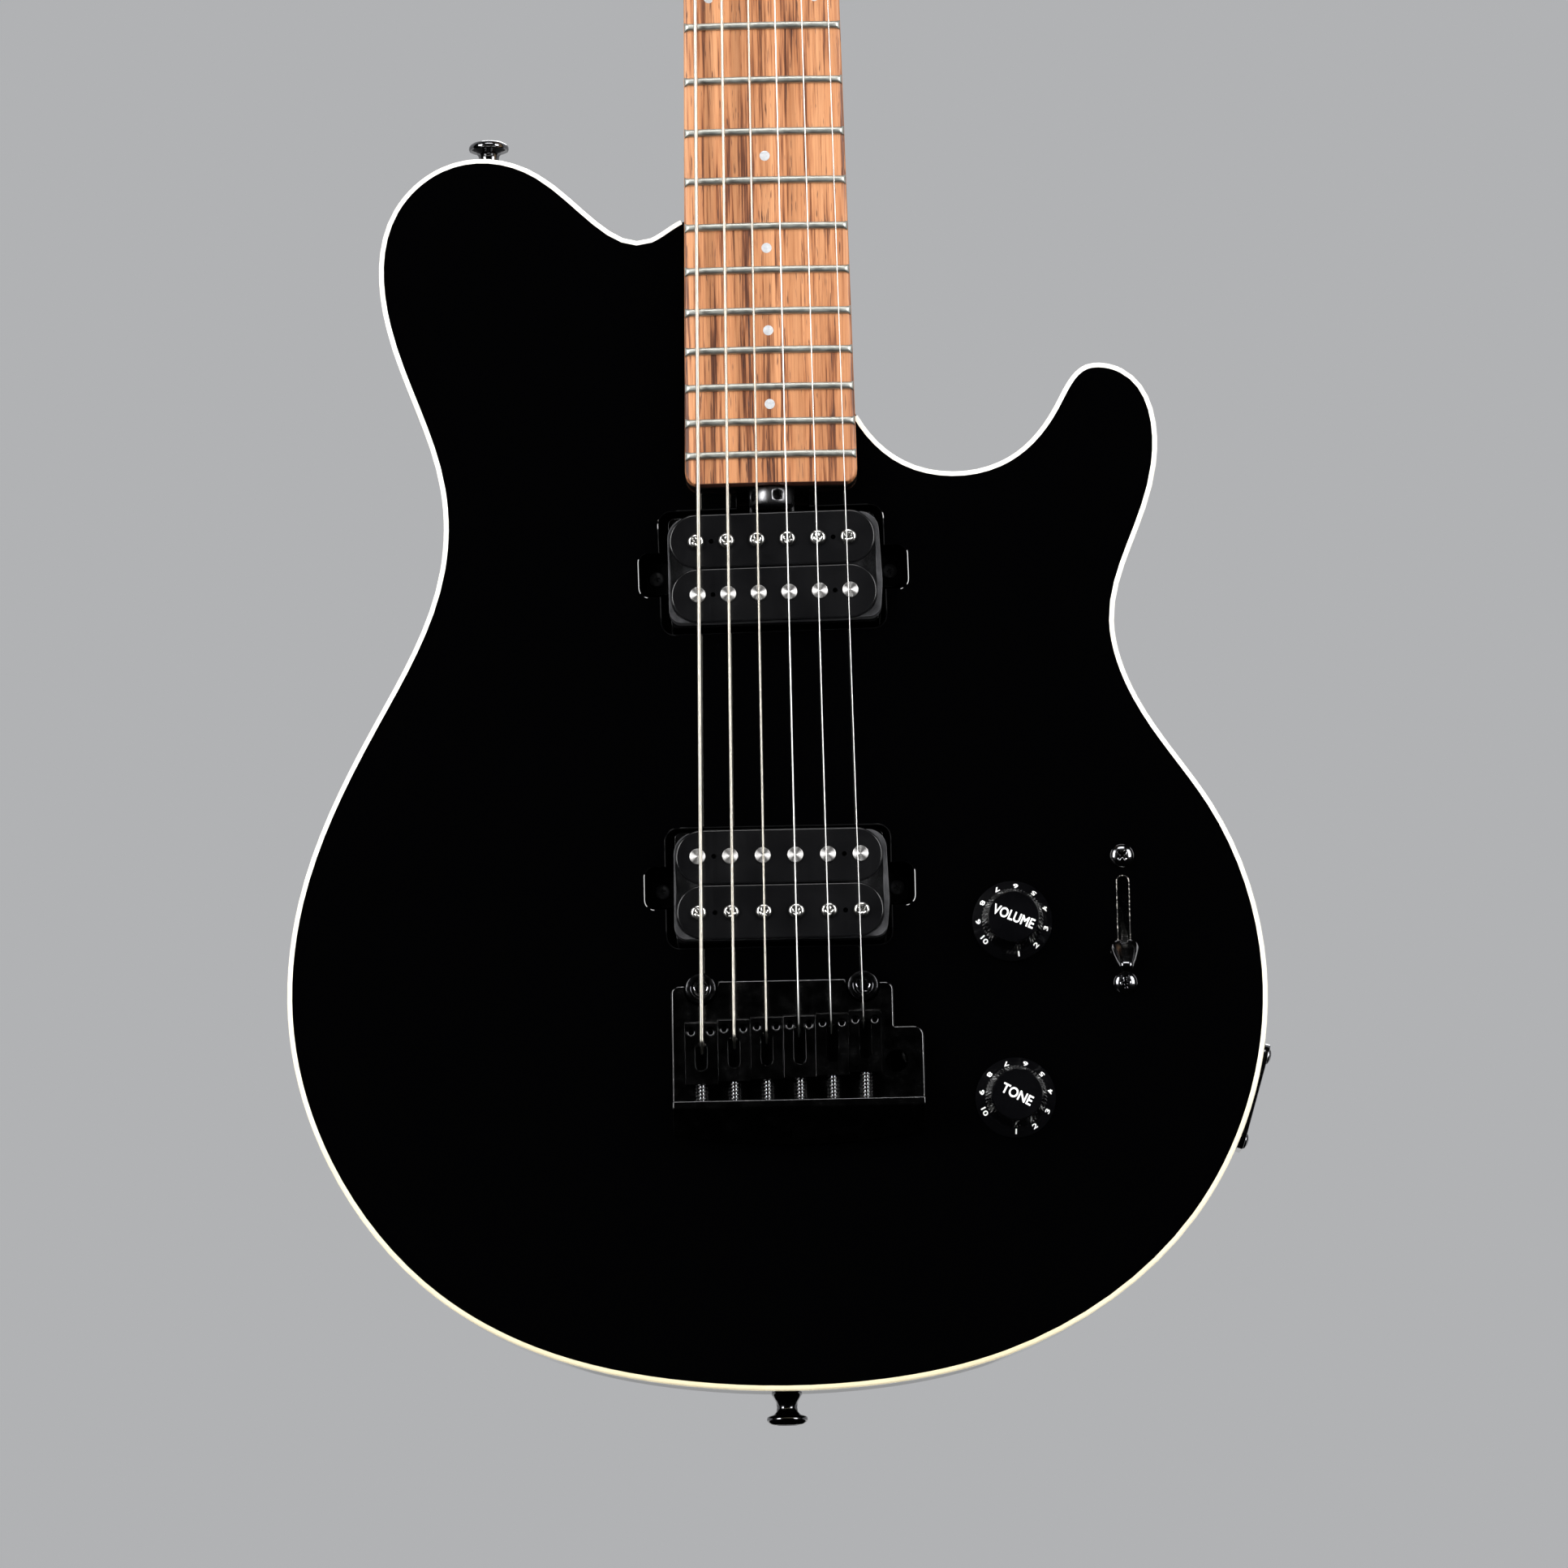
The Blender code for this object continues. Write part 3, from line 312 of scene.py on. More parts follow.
def binding_plastic():
    """Cream edging, with painted shade that darkens and warms it towards the lower end, where less light
    falls.
    """
    look, tree, shader = start_look("cream_binding", (0.86, 0.83, 0.72), 0.22, coat_weight=0.4)
    # Painted shade: the cream ramp runs darker and warmer down the body, standing in for the light falling
    # off towards the lower end
    height = span(tree, height_of(tree), 0.0, 1.0, -0.06, 0.14)
    cream = ramp(tree, height, [(0.0, (0.72, 0.64, 0.44)), (1.0, (0.94, 0.92, 0.86))])
    mottle = scaled_noise(tree, EVEN, 60.0)
    tint = ramp(tree, mottle, [(0.3, (0.93, 0.91, 0.86)), (0.7, (1.0, 1.0, 1.0))])
    paint(tree, shader, mix(tree, "MULTIPLY", 1.0, cream, tint), span(tree, mottle, 0.18, 0.30))
    return look


def maple():
    """Pale maple with fine long grain under a satin finish, and painted shade on its lower end, where the
    neck's end sits in shadow.
    """
    look, tree, shader = start_look("satin_maple", (0.76, 0.54, 0.30), 0.35, coat_weight=0.15)
    grain = scaled_noise(tree, (1.0, 1.0, 0.03), 420.0, 6.0)
    broad = scaled_noise(tree, (1.0, 1.0, 0.08), 45.0, 3.0)
    tone = ramp(tree, broad, [(0.3, (0.62, 0.38, 0.17)), (0.7, (0.80, 0.56, 0.30))])
    lines = ramp(tree, grain, [(0.35, (0.78, 0.68, 0.56)), (0.6, (1.0, 1.0, 1.0))])
    # Painted shade: below the fretboard's end the wood is mixed to near black, standing in for the shadow on
    # the neck's end
    above_end_shade = span(tree, height_of(tree), 0.0, 1.0, (BOARD_END + 12.0) * MM, (BOARD_END + 14.0) * MM)
    wood = mix(tree, "MULTIPLY", 0.8, tone, lines)
    paint(tree, shader, mix(tree, "MIX", above_end_shade, (0.010, 0.009, 0.008), wood), span(tree, grain, 0.28, 0.42))
    bump(tree, shader, grain, 0.02, 0.4)
    return look


def rosewood():
    """Orange-brown fingerboard wood with dark figure and open pores running up the neck, and painted shade on
    its end face.
    """
    look, tree, shader = start_look("open_pore_rosewood", (0.75, 0.38, 0.18), 0.45)
    wander = scaled_noise(tree, (1.0, 1.0, 0.06), 90.0, 4.0)
    figure = scaled_noise(tree, (1.0, 1.0, 0.024), 1150.0, 4.0, 0.62)
    cluster = scaled_noise(tree, (1.0, 1.0, 0.045), 230.0, 3.0)
    dashes = scaled_noise(tree, (1.0, 1.0, 0.06), 1700.0, 2.0)
    fibre = scaled_noise(tree, (1.0, 1.0, 0.02), 2200.0, 4.0)
    tone = ramp(tree, wander, [(0.34, (0.37, 0.155, 0.062)), (0.50, (0.49, 0.215, 0.090)),
                               (0.68, (0.60, 0.285, 0.130))])
    streaks = mix(tree, "MIX", 0.42, figure, cluster)
    dark = ramp(tree, streaks, [(0.39, (0.12, 0.06, 0.04)), (0.44, (0.40, 0.29, 0.24)),
                                (0.48, (0.82, 0.75, 0.70)), (0.54, (1.0, 1.0, 1.0))])
    holes = ramp(tree, dashes, [(0.315, (0.14, 0.07, 0.05)), (0.365, (1.0, 1.0, 1.0))])
    lines = ramp(tree, fibre, [(0.36, (0.80, 0.73, 0.69)), (0.58, (1.0, 1.0, 1.0))])
    color = mix(tree, "MULTIPLY", 0.95, tone, dark)
    color = mix(tree, "MULTIPLY", 0.8, color, holes)
    color = mix(tree, "MULTIPLY", 0.8, color, lines)
    # Painted shade: the board's end face, which faces down into shadow, is mixed to a dark red-brown
    face = span(tree, height_of(tree), 0.0, 1.0, (BOARD_END + 0.1) * MM, (BOARD_END + 0.4) * MM)
    color = mix(tree, "MIX", face, (0.060, 0.018, 0.010), color)
    paint(tree, shader, color, span(tree, fibre, 0.38, 0.55))
    bump(tree, shader, holes, 0.05, 0.5)
    return look


def brushed(name, color, roughness, stretch=EVEN, scale=900.0, spread=0.08, metallic=1.0):
    """Metal whose roughness varies in fine rubbed marks."""
    look, tree, shader = start_look(name, color, roughness, metallic)
    marks = scaled_noise(tree, stretch, scale, 3.0)
    dull = tuple(0.78 * c for c in color)
    paint(tree, shader, ramp(tree, marks, [(0.3, dull), (0.65, color)]),
          span(tree, marks, roughness - spread / 2, roughness + spread))
    return look


def wound_steel():
    """Nickel wrap wire: tight ridges across the string."""
    look, tree, shader = start_look("wound_string", (0.80, 0.76, 0.68), 0.30, 1.0)
    coords = tree.nodes.new("ShaderNodeTexCoord")
    waves = tree.nodes.new("ShaderNodeTexWave")
    waves.bands_direction = "Z"
    waves.inputs["Scale"].default_value = 1100.0
    waves.inputs["Distortion"].default_value = 0.0
    tree.links.new(coords.outputs["Object"], waves.inputs["Vector"])
    tone = ramp(tree, waves.outputs["Fac"], [(0.0, (0.56, 0.50, 0.40)), (0.6, (0.95, 0.91, 0.82))])
    tree.links.new(tone, shader.inputs["Base Color"])
    bump(tree, shader, waves.outputs["Fac"], 0.05, 0.6)
    return look


def moulded(name, color, low, high, scale=700.0, depth=0.008, **constants):
    """Moulded plastic with a fine uneven skin."""
    look, tree, shader = start_look(name, color, (low + high) / 2, **constants)
    skin = scaled_noise(tree, EVEN, scale, 3.0)
    cloud = scaled_noise(tree, EVEN, scale / 12, 3.0)
    lifted = tuple(min(1.0, 1.35 * c + 0.0005) for c in color)
    paint(tree, shader, ramp(tree, cloud, [(0.35, color), (0.7, lifted)]), span(tree, cloud, low, high))
    bump(tree, shader, skin, depth, 0.5)
    return look


def turned_steel():
    """Steel faced on a lathe: fine rings that spread the light outwards from the centre."""
    look, tree, shader = start_look("faced_steel", (0.80, 0.79, 0.78), 0.50, 1.0, anisotropic=0.95,
                                    anisotropic_rotation=0.25)
    around = tree.nodes.new("ShaderNodeTangent")
    around.direction_type = "RADIAL"
    around.axis = "Y"
    tree.links.new(around.outputs["Tangent"], shader.inputs["Tangent"])
    marks = scaled_noise(tree, EVEN, 1400.0, 3.0)
    tone = ramp(tree, marks, [(0.3, (0.66, 0.64, 0.63)), (0.65, (0.88, 0.87, 0.86))])
    paint(tree, shader, tone, span(tree, marks, 0.46, 0.54))
    return look


def pearl():
    look, tree, shader = start_look("pearl_dot", (0.80, 0.78, 0.74), 0.25, coat_weight=0.5)
    cloud = scaled_noise(tree, EVEN, 900.0, 3.0)
    paint(tree, shader, ramp(tree, cloud, [(0.3, (0.44, 0.45, 0.47)), (0.7, (0.62, 0.63, 0.64))]))
    return look


def speckled(name, color, speck, amount, roughness, metallic=0.0, scale=2600.0):
    """Dark surface with fine pale specks; a larger amount makes more of them."""
    look, tree, shader = start_look(name, color, roughness, metallic)
    cloud = scaled_noise(tree, EVEN, 180.0, 3.0)
    grains = scaled_noise(tree, EVEN, scale, 1.0, 0.4)
    cover = mix(tree, "MULTIPLY", 0.6, grains, cloud)
    edge = 0.52 - amount
    paint(tree, shader, ramp(tree, cover, [(edge, color), (edge + 0.05, speck)]),
          span(tree, cloud, roughness - 0.04, roughness + 0.05))
    return look


LOOKS = {
    "lacquer": lacquer(),
    "binding": binding_plastic(),
    "maple": maple(),
    "rosewood": rosewood(),
    "fret": brushed("fret_nickel", (0.60, 0.61, 0.56), 0.44, (0.3, 1.0, 1.0), 900.0),
    "wound": wound_steel(),
    "plain": brushed("plain_string", (0.95, 0.94, 0.91), 0.30, (1.0, 1.0, 0.05), 2000.0),
    "steel": brushed("nickel_steel", (0.72, 0.71, 0.69), 0.20),
    "slug": turned_steel(),
    "spring": brushed("spring_steel", (0.15, 0.15, 0.15), 0.18),
    "chrome": brushed("black_chrome", (0.19, 0.19, 0.20), 0.13, spread=0.06),
    "bridge": speckled("black_plate", (0.080, 0.080, 0.082), (0.40, 0.40, 0.40), 0.035, 0.17, 1.0, 5000.0),
    "bobbin": moulded("satin_bobbin", (0.0032, 0.0032, 0.0036), 0.16, 0.26),
    "knob": moulded("gloss_knob", (0.0012, 0.0012, 0.0015), 0.10, 0.18, depth=0.003),
    "cover": moulded("matt_cover", (0.012, 0.012, 0.013), 0.38, 0.55, depth=0.02),
    "tape": speckled("coil_tape", (0.022, 0.022, 0.024), (0.085, 0.085, 0.09), 0.16, 0.34, scale=6000.0),
    "wheel": brushed("wheel_chrome", (0.26, 0.26, 0.27), 0.30, (1.0, 1.0, 0.1), 1500.0),
    "winding": moulded("coil_winding", (0.002, 0.002, 0.0022), 0.14, 0.24, scale=900.0, depth=0.03),
    "liner": speckled("worn_lacquer_edge", (0.010, 0.009, 0.008), (0.45, 0.42, 0.38), 0.16, 0.45,
                      scale=1500.0),
    "print": moulded("white_print", (0.84, 0.84, 0.80), 0.35, 0.5),
    "ink": moulded("side_dot_ink", (0.01, 0.01, 0.01), 0.3, 0.4),
    "bone": moulded("nut_bone", (0.80, 0.76, 0.64), 0.25, 0.4),
    "pearl": pearl(),
}
SLOT_LOOKS = {"gloss_black": "lacquer", "cream_binding": "binding", "maple": "maple", "rosewood": "rosewood",
              "bone": "bone", "steel": "steel", "black_metal": "chrome", "black_plastic": "cover"}


# ---------------------------------------------------------------- outlines

def smooth_curve(points, steps=24):
    """Fine points along the natural cubic spline through the given ones."""
    knots = np.array(points, float)
    spans = np.linalg.norm(np.diff(knots, axis=0), axis=1)
    count = len(knots)
    system = np.eye(count)
    right = np.zeros((count, 2))
    for i in range(1, count - 1):
        system[i, i - 1:i + 2] = spans[i - 1], 2 * (spans[i - 1] + spans[i]), spans[i]
        right[i] = 6 * ((knots[i + 1] - knots[i]) / spans[i] - (knots[i] - knots[i - 1]) / spans[i - 1])
    bend = np.linalg.solve(system, right)
    fine = []
    for i in range(count - 1):
        for t in np.linspace(0, 1, steps, endpoint=False):
            s = 1 - t
            arch = (s ** 3 - s) * bend[i] + (t ** 3 - t) * bend[i + 1]
            fine.append(s * knots[i] + t * knots[i + 1] + spans[i] ** 2 / 6 * arch)
    fine.append(knots[-1])
    return np.array(fine)


def loop_normals(loop):
    """Unit normals that point out of an anticlockwise loop seen from the front."""
    along = np.roll(loop, -1, axis=0) - np.roll(loop, 1, axis=0)
    along /= np.linalg.norm(along, axis=1)[:, None]
    return np.column_stack((along[:, 1], -along[:, 0]))


def fillet(corners, segments=6):
    """Outline of corners (x, z, radius) with each one rounded."""
    outline = []
    for i, (x, z, radius) in enumerate(corners):
        here = np.array((x, z), float)
        if radius == 0:
            outline.append((x, z))
            continue
        back = np.array(corners[i - 1][:2]) - here
        ahead = np.array(corners[(i + 1) % len(corners)][:2]) - here
        back /= np.linalg.norm(back)
        ahead /= np.linalg.norm(ahead)
        half = math.acos(float(np.clip(back @ ahead, -1, 1))) / 2
        centre = here + (back + ahead) / np.linalg.norm(back + ahead) * radius / math.sin(half)
        start = here + back * radius / math.tan(half) - centre
        sweep = math.pi - 2 * half
        if back[0] * ahead[1] - back[1] * ahead[0] > 0:
            sweep = -sweep
        for k in range(segments + 1):
            c, s = math.cos(sweep * k / segments), math.sin(sweep * k / segments)
            outline.append((centre[0] + c * start[0] - s * start[1],
                            centre[1] + s * start[0] + c * start[1]))
    return outline


def rounded_box(x0, x1, z0, z1, radius, segments=6):
    return fillet([(x0, z0, radius), (x1, z0, radius), (x1, z1, radius), (x0, z1, radius)], segments)


def circle(radius, steps):
    return [(radius * math.cos(2 * math.pi * k / steps), radius * math.sin(2 * math.pi * k / steps))
            for k in range(steps)]


def grown(corners, amount):
    """The corners moved out from their middle by about the amount."""
    xs, zs = [c[0] for c in corners], [c[1] for c in corners]
    mx, mz = (min(xs) + max(xs)) / 2, (min(zs) + max(zs)) / 2
    kx = 1 + 2 * amount / (max(xs) - min(xs))
    kz = 1 + 2 * amount / (max(zs) - min(zs))
    return [(mx + (x - mx) * kx, mz + (z - mz) * kz, r) for x, z, r in corners]


def offset_loop(outline, amount):
    """Outline pushed outwards along its normals."""
    loop = np.array(outline, float)
    area = np.sum(loop[:, 0] * np.roll(loop[:, 1], -1) - loop[:, 1] * np.roll(loop[:, 0], -1))
    side = 1 if area > 0 else -1
    return [tuple(p) for p in loop + loop_normals(loop) * amount * side]


SWITCH_SLOT = rounded_box(SWITCH_AT[0] - 1.8, SWITCH_AT[0] + 1.8, SWITCH_AT[1] - 14, SWITCH_AT[1] + 14, 1.7)


# ---------------------------------------------------------------- meshes

def solid(name, verts, faces, sharp=32):
    """Closed mesh object from points in millimetres, smooth except at its sharp edges."""
    mesh = bpy.data.meshes.new(name)
    mesh.from_pydata([Vector(v) * MM for v in verts], [], faces)
    bm = bmesh.new()
    bm.from_mesh(mesh)
    bmesh.ops.recalc_face_normals(bm, faces=bm.faces)
    bm.to_mesh(mesh)
    bm.free()
    mesh.shade_smooth()
    mesh.set_sharp_from_angle(angle=math.radians(sharp))
    return stand(name, mesh)


def loft(name, rings, sharp=32):
    """Skin over rings that all have the same number of points, with both ends closed."""
    count = len(rings[0])
    verts = [point for ring in rings for point in ring]
    faces = [list(range(count))[::-1], [(len(rings) - 1) * count + k for k in range(count)]]
    for r in range(len(rings) - 1):
        for k in range(count):
            a, b = r * count + k, r * count + (k + 1) % count
            faces.append([a, b, b + count, a + count])
    return solid(name, verts, faces, sharp)


def prism(name, outline, y0, y1):
    """Outline in x and z carried from y0 to y1."""
    return loft(name, [[(x, y, z) for x, z in outline] for y in (y0, y1)])


def lipped(name, outline, mouth, floor, lip=LIP):
    """Cutter for a pocket whose mouth has a small rounded edge; it runs from the mouth to the floor."""
    inward = 1 if floor > mouth else -1
    layers = [(mouth - inward * 4, lip), (mouth, lip), (mouth + inward * lip * 0.25, lip * 0.45),
              (mouth + inward * lip * 0.6, lip * 0.12), (mouth + inward * lip, 0.0), (floor, 0.0)]
    rings = [[(x, y, z) for x, z in offset_loop(outline, grow)] for y, grow in layers]
    return loft(name, rings)


def box(name, low, high):
    outline = [(low[0], low[2]), (high[0], low[2]), (high[0], high[2]), (low[0], high[2])]
    return prism(name, outline, low[1], high[1])


def turned(name, profile, at=(0, 0, 0), axis=(0, -1, 0), steps=48, sharp=32):
    """Turned solid: profile lists (radius, distance along the axis) from one end to the other."""
    rings = [[(x, y, along) for x, y in circle(radius, steps)] for radius, along in profile]
    made = loft(name, rings, sharp)
    made.data.transform(Vector(axis).to_track_quat("Z", "Y").to_matrix().to_4x4())
    made.data.transform(Matrix.Translation(Vector(at) * MM))
    return made


def sweep(name, points, radius, sides=10):
    """Round wire through the points, with closed ends."""
    path = [Vector(p) for p in points]
    rings = []
    normal = None
    for i, here in enumerate(path):
        ahead = (path[min(i + 1, len(path) - 1)] - path[max(i - 1, 0)]).normalized()
        if normal is None:
            normal = ahead.orthogonal().normalized()
        normal = (normal - ahead * normal.dot(ahead)).normalized()
        other = ahead.cross(normal)
        width = radius[i] if isinstance(radius, (list, tuple)) else radius
        rings.append([tuple(here + normal * x + other * y) for x, y in circle(width, sides)])
    return loft(name, rings, 60)


def coil(name, start, end, radius, wire, turns, steps=14, sides=6):
    """Helical spring between two points."""
    a, b = Vector(start), Vector(end)
    along = (b - a).normalized()
    u = along.orthogonal().normalized()
    v = along.cross(u)
    count = int(turns * steps)
    path = []
    for k in range(count + 1):
        turn = 2 * math.pi * k / steps
        path.append(a + (b - a) * (k / count) + (u * math.cos(turn) + v * math.sin(turn)) * radius)
    return sweep(name, path, wire, sides)


def take(target, operation, *tools):
    """Apply Boolean steps to the target's mesh and remove the tools."""
    for tool in tools:
        step = target.modifiers.new(operation, "BOOLEAN")
        step.operation = operation
        step.solver = "EXACT"
        step.object = tool
    bake(target)
    for tool in tools:
        bpy.data.objects.remove(tool, do_unlink=True)
    return target


def bake(target):
    """Replace the mesh with what its modifiers make of it."""
    graph = bpy.context.evaluated_depsgraph_get()
    mesh = bpy.data.meshes.new_from_object(target.evaluated_get(graph))
    old = target.data
    target.modifiers.clear()
    target.data = mesh
    bpy.data.meshes.remove(old)
    mesh.name = target.name


def cut(target, *tools):
    return take(target, "DIFFERENCE", *tools)


def weld(target, *tools):
    return take(target, "UNION", *tools)


def round_edges(target, width, segments=2, angle=32, sharp=40):
    """Bevel the sharp edges, with shading that keeps broad faces flat."""
    bevel = target.modifiers.new("edges", "BEVEL")
    bevel.width = width * MM
    bevel.segments = segments
    bevel.limit_method = "ANGLE"
    bevel.angle_limit = math.radians(angle)
    bevel.use_clamp_overlap = True
    bake(target)
    return flatten_shading(target, sharp)


def flatten_shading(target, sharp):
    """Smooth shading ruled by the broad faces, broken at edges sharper than the angle."""
    target.data.shade_smooth()
    target.data.set_sharp_from_angle(angle=math.radians(sharp))
    weights = target.modifiers.new("normals", "WEIGHTED_NORMAL")
    weights.keep_sharp = True
    bake(target)
    return target


def eased(name, outline, top, bottom, radius, steps=5):
    """Outline carried from its bottom to its top, with a rounded upper edge."""
    layers = [(bottom, 0.0)]
    for k in range(steps + 1):
        angle = math.pi / 2 * k / steps
        layers.append((top + radius * (1 - math.sin(angle)), -radius * (1 - math.cos(angle))))
    return loft(name, [[(x, y, z) for x, z in offset_loop(outline, grow)] for y, grow in layers], 25)


def settle(piece, look, slot, body=ROOT, replaces=()):
    """Give a piece its material, the body it rides on and the CAD nodes it stands for."""
    piece.data.materials.clear()
    piece.data.materials.append(LOOKS[look])
    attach(piece, body)
    if replaces:
        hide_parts(*replaces)
    return piece


def stretch(piece, look, body, other, start, end):
    """Give a steel piece its material and bake its placement into its mesh."""
    piece.data.materials.append(LOOKS[look])
    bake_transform(piece)


HEAD = (Matrix.Translation(Vector((0, NECK_TOP, NUT_Z + NUT_DEPTH)) * MM)
        @ Matrix.Rotation(-math.radians(HEAD_TILT), 4, "X"))


def on_head(piece):
    """Move a piece made in the headstock's own frame to its place."""
    piece.data.transform(HEAD)
    return piece


def head_point(x, y, z):
    return HEAD @ (Vector((x, y, z)) * MM) / MM


# ---------------------------------------------------------------- screws

def cross_cut(target, at, axis, size, depth, turn=0.0):
    """Cross recess in a screw head."""
    spin = Vector(axis).to_track_quat("Z", "Y").to_matrix().to_4x4() @ Matrix.Rotation(turn, 4, "Z")
    for long_side in (0, 1):
        wide, deep = (size, size * 0.22) if long_side else (size * 0.22, size)
        bar = ((-wide, -deep), (wide, -deep), (wide, deep), (-wide, deep))
        tool = loft("cross", [[(x * s, y * s, z) for x, y in bar]
                              for s, z in ((0.45, -depth), (1.0, 0.05), (1.0, 2.0))])
        tool.data.transform(spin)
        tool.data.transform(Matrix.Translation(Vector(at) * MM))
        cut(target, tool)
    return target


def domed_screw(name, at, axis, radius, height, look="chrome", body=ROOT, turn=0.3, slot="black_metal"):
    """Cross-head screw with a rounded head that sits on the surface at the point."""
    profile = [(radius * 0.45, -3.0), (radius * 0.45, 0.0), (radius, 0.0), (radius, height * 0.25)]
    for k in range(1, 6):
        angle = math.pi / 2 * k / 6
        profile.append((radius * math.cos(angle), height * (0.25 + 0.75 * math.sin(angle))))
    profile.append((radius * 0.08, height))
    screw = turned(name, profile, at, axis, 32, 50)
    tip = Vector(at) + Vector(axis).normalized() * height
    cross_cut(screw, tip, axis, radius * 0.52, height * 0.6, turn)
    return settle(screw, look, slot, body)


# ---------------------------------------------------------------- neck sizes

def neck_width(z):
    return NECK_END_WIDTH - NECK_TAPER * (z - BOARD_END)


def board_crown(x):
    return x * x / (2 * BOARD_RADIUS)


def fret_z(number):
    return SADDLE_LINE + SCALE_LENGTH / 2 ** (number / 12)


def end_narrowing(z):
    """Width lost on each side to the rounded corners at the body end of the neck."""
    into = BOARD_CORNER - (z - BOARD_END)
    if into <= 0:
        return 0.0
    return BOARD_CORNER - math.sqrt(max(0.0, BOARD_CORNER ** 2 - min(into, BOARD_CORNER) ** 2))


# ---------------------------------------------------------------- body

def pickup_outline(widths, heights, tab_width, tab_heights):
    """Rectangle with a tab on each side."""
    (left, right), (low, high), (under, over) = widths, heights, tab_heights
    return fillet([(left, low, 4), (right, low, 4), (right, under, 0), (tab_width, under, 3),
                   (tab_width, over, 3), (right, over, 0), (right, high, 4), (left, high, 4), (left, over, 0),
                   (-tab_width, over, 3), (-tab_width, under, 3), (left, under, 0)])


def turned_outline(outline, centre, turn):
    """Outline turned anticlockwise, as seen from the front, and moved to its centre."""
    c, s = math.cos(math.radians(turn)), math.sin(math.radians(turn))
    return [(centre[0] + c * x - s * z, centre[1] + s * x + c * z) for x, z in outline]


def body_edge(stride=3):
    """Points of the body's edge and the normals that point out of it."""
    fine = smooth_curve(BODY_EDGE)[:-1]
    return fine[::stride], loop_normals(fine)[::stride]


def make_body():
    edge, normals = body_edge()
    layers = [(0.0, BACK_ROUND)]
    for k in range(1, 8):
        angle = math.pi / 2 * k / 7
        layers.append((-BACK_ROUND * (1 - math.cos(angle)), BACK_ROUND * (1 - math.sin(angle))))
    floor = FRONT + BINDING_DEPTH
    layers += [(floor + 0.02, 0.0), (floor + 0.02, BINDING_WIDTH + 0.02), (FRONT, BINDING_WIDTH + 0.02)]
    rings = [[(x, y, z) for x, z in edge - normals * inset] for y, inset in layers]
    body = loft("body_shell", rings, 30)

    low, high = BOARD_END - 0.3, POCKET_TOP
    half = [neck_width(z) / 2 + 0.15 for z in (low, high)]
    pocket = prism("pocket", fillet([(-half[0], low, 4.8), (half[0], low, 4.8),
                                     (half[1], high, 0), (-half[1], high, 0)]), FRONT - 5, HEEL_FLOOR + 0.1)
    well = lipped("well", [(-11.4, 223.0), (12.2, 223.0), (12.2, 236.0), (-11.4, 236.0)], FRONT, FRONT + 12)
    outline = pickup_outline((-36.6, 36.0), (-20.1, 20.1), 43.4, (-7.6, 6.7))
    neck_bay = lipped("neck_bay", turned_outline(outline, NECK_PICKUP, NECK_PICKUP_TURN), FRONT, CAVITY_FLOOR)
    outline = pickup_outline((-36.5, 35.8), (-19.5, 19.1), 43.3, (-6.8, 6.8))
    bridge_bay = lipped("bridge_bay", turned_outline(outline, BRIDGE_PICKUP, 0.0), FRONT, CAVITY_FLOOR)
    slot = lipped("block_slot", rounded_box(-34.4, 44, 26, 56.5, 2), FRONT, -10)
    springs = prism("spring_bay", rounded_box(*TREMOLO_CAVITY, 5), -17, 5)
    seat = lipped("cover_seat", rounded_box(*TREMOLO_COVER, 7), 0, -COVER_RECESS)
    controls = prism("control_bay", fillet(CONTROL_CAVITY), FRONT + TOP_SKIN, 5)
    control_seat = lipped("control_seat", fillet(grown(CONTROL_CAVITY, 6)), 0, -COVER_RECESS)
    tools = [pocket, well, neck_bay, bridge_bay, slot, springs, seat, controls, control_seat]
    for label in ("volume_knob", "tone_knob"):
        x, _, z = middle(label)
        tools.append(turned("knob_hole", [(4.2, -8), (4.2, 8)], (x, FRONT + 2, z), steps=24))
    tools.append(lipped("lever_slot", SWITCH_SLOT, FRONT, FRONT + 9, 0.2))
    for side in (-1, 1):
        at = (side * STUD_X, FRONT + 20, PIVOT[2])
        tools.append(turned("stud_hole", [(4.4, 0), (4.4, 25)], at, steps=32))
    tools.append(turned("jack_bore", [(10.5, -28), (10.5, 6)], JACK_CENTRE, RIM_OUT, 32))
    jack_seat = prism("jack_seat", rounded_box(-13, 13, -19, 19, 6), 0, 8)
    tools.append(on_rim(jack_seat, -1.0))
    cut(body, *tools)
    flatten_shading(body, 15)
    settle(body, "lacquer", "gloss_black", replaces=["body"])


def on_rim(piece, out):
    """Stand a piece made in x and z, thick along y, on the treble rim."""
    across = Vector((0, 1, 0))
    turn = Matrix((across, RIM_OUT, RIM_OUT.cross(across))).transposed()
    piece.data.transform(Matrix.Translation((JACK_CENTRE + RIM_OUT * out) * MM) @ turn.to_4x4())
    return piece


def make_binding():
    edge, normals = body_edge()
    clear = [i for i, (x, z) in enumerate(edge) if z < 240 or abs(x) > neck_width(z) / 2 + 0.25]
    section = [(0.0, FRONT + BINDING_DEPTH), (-0.03, FRONT + 0.9), (0.1, FRONT + 0.4), (0.32, FRONT + 0.12),
               (0.7, FRONT), (BINDING_WIDTH, FRONT), (BINDING_WIDTH, FRONT + BINDING_DEPTH)]
    rings = [[(edge[i][0] - normals[i][0] * inset, y, edge[i][1] - normals[i][1] * inset)
              for inset, y in section] for i in clear]
    settle(loft("binding_strip", rings, 50), "binding", "cream_binding", replaces=["body_binding"])


# ---------------------------------------------------------------- neck

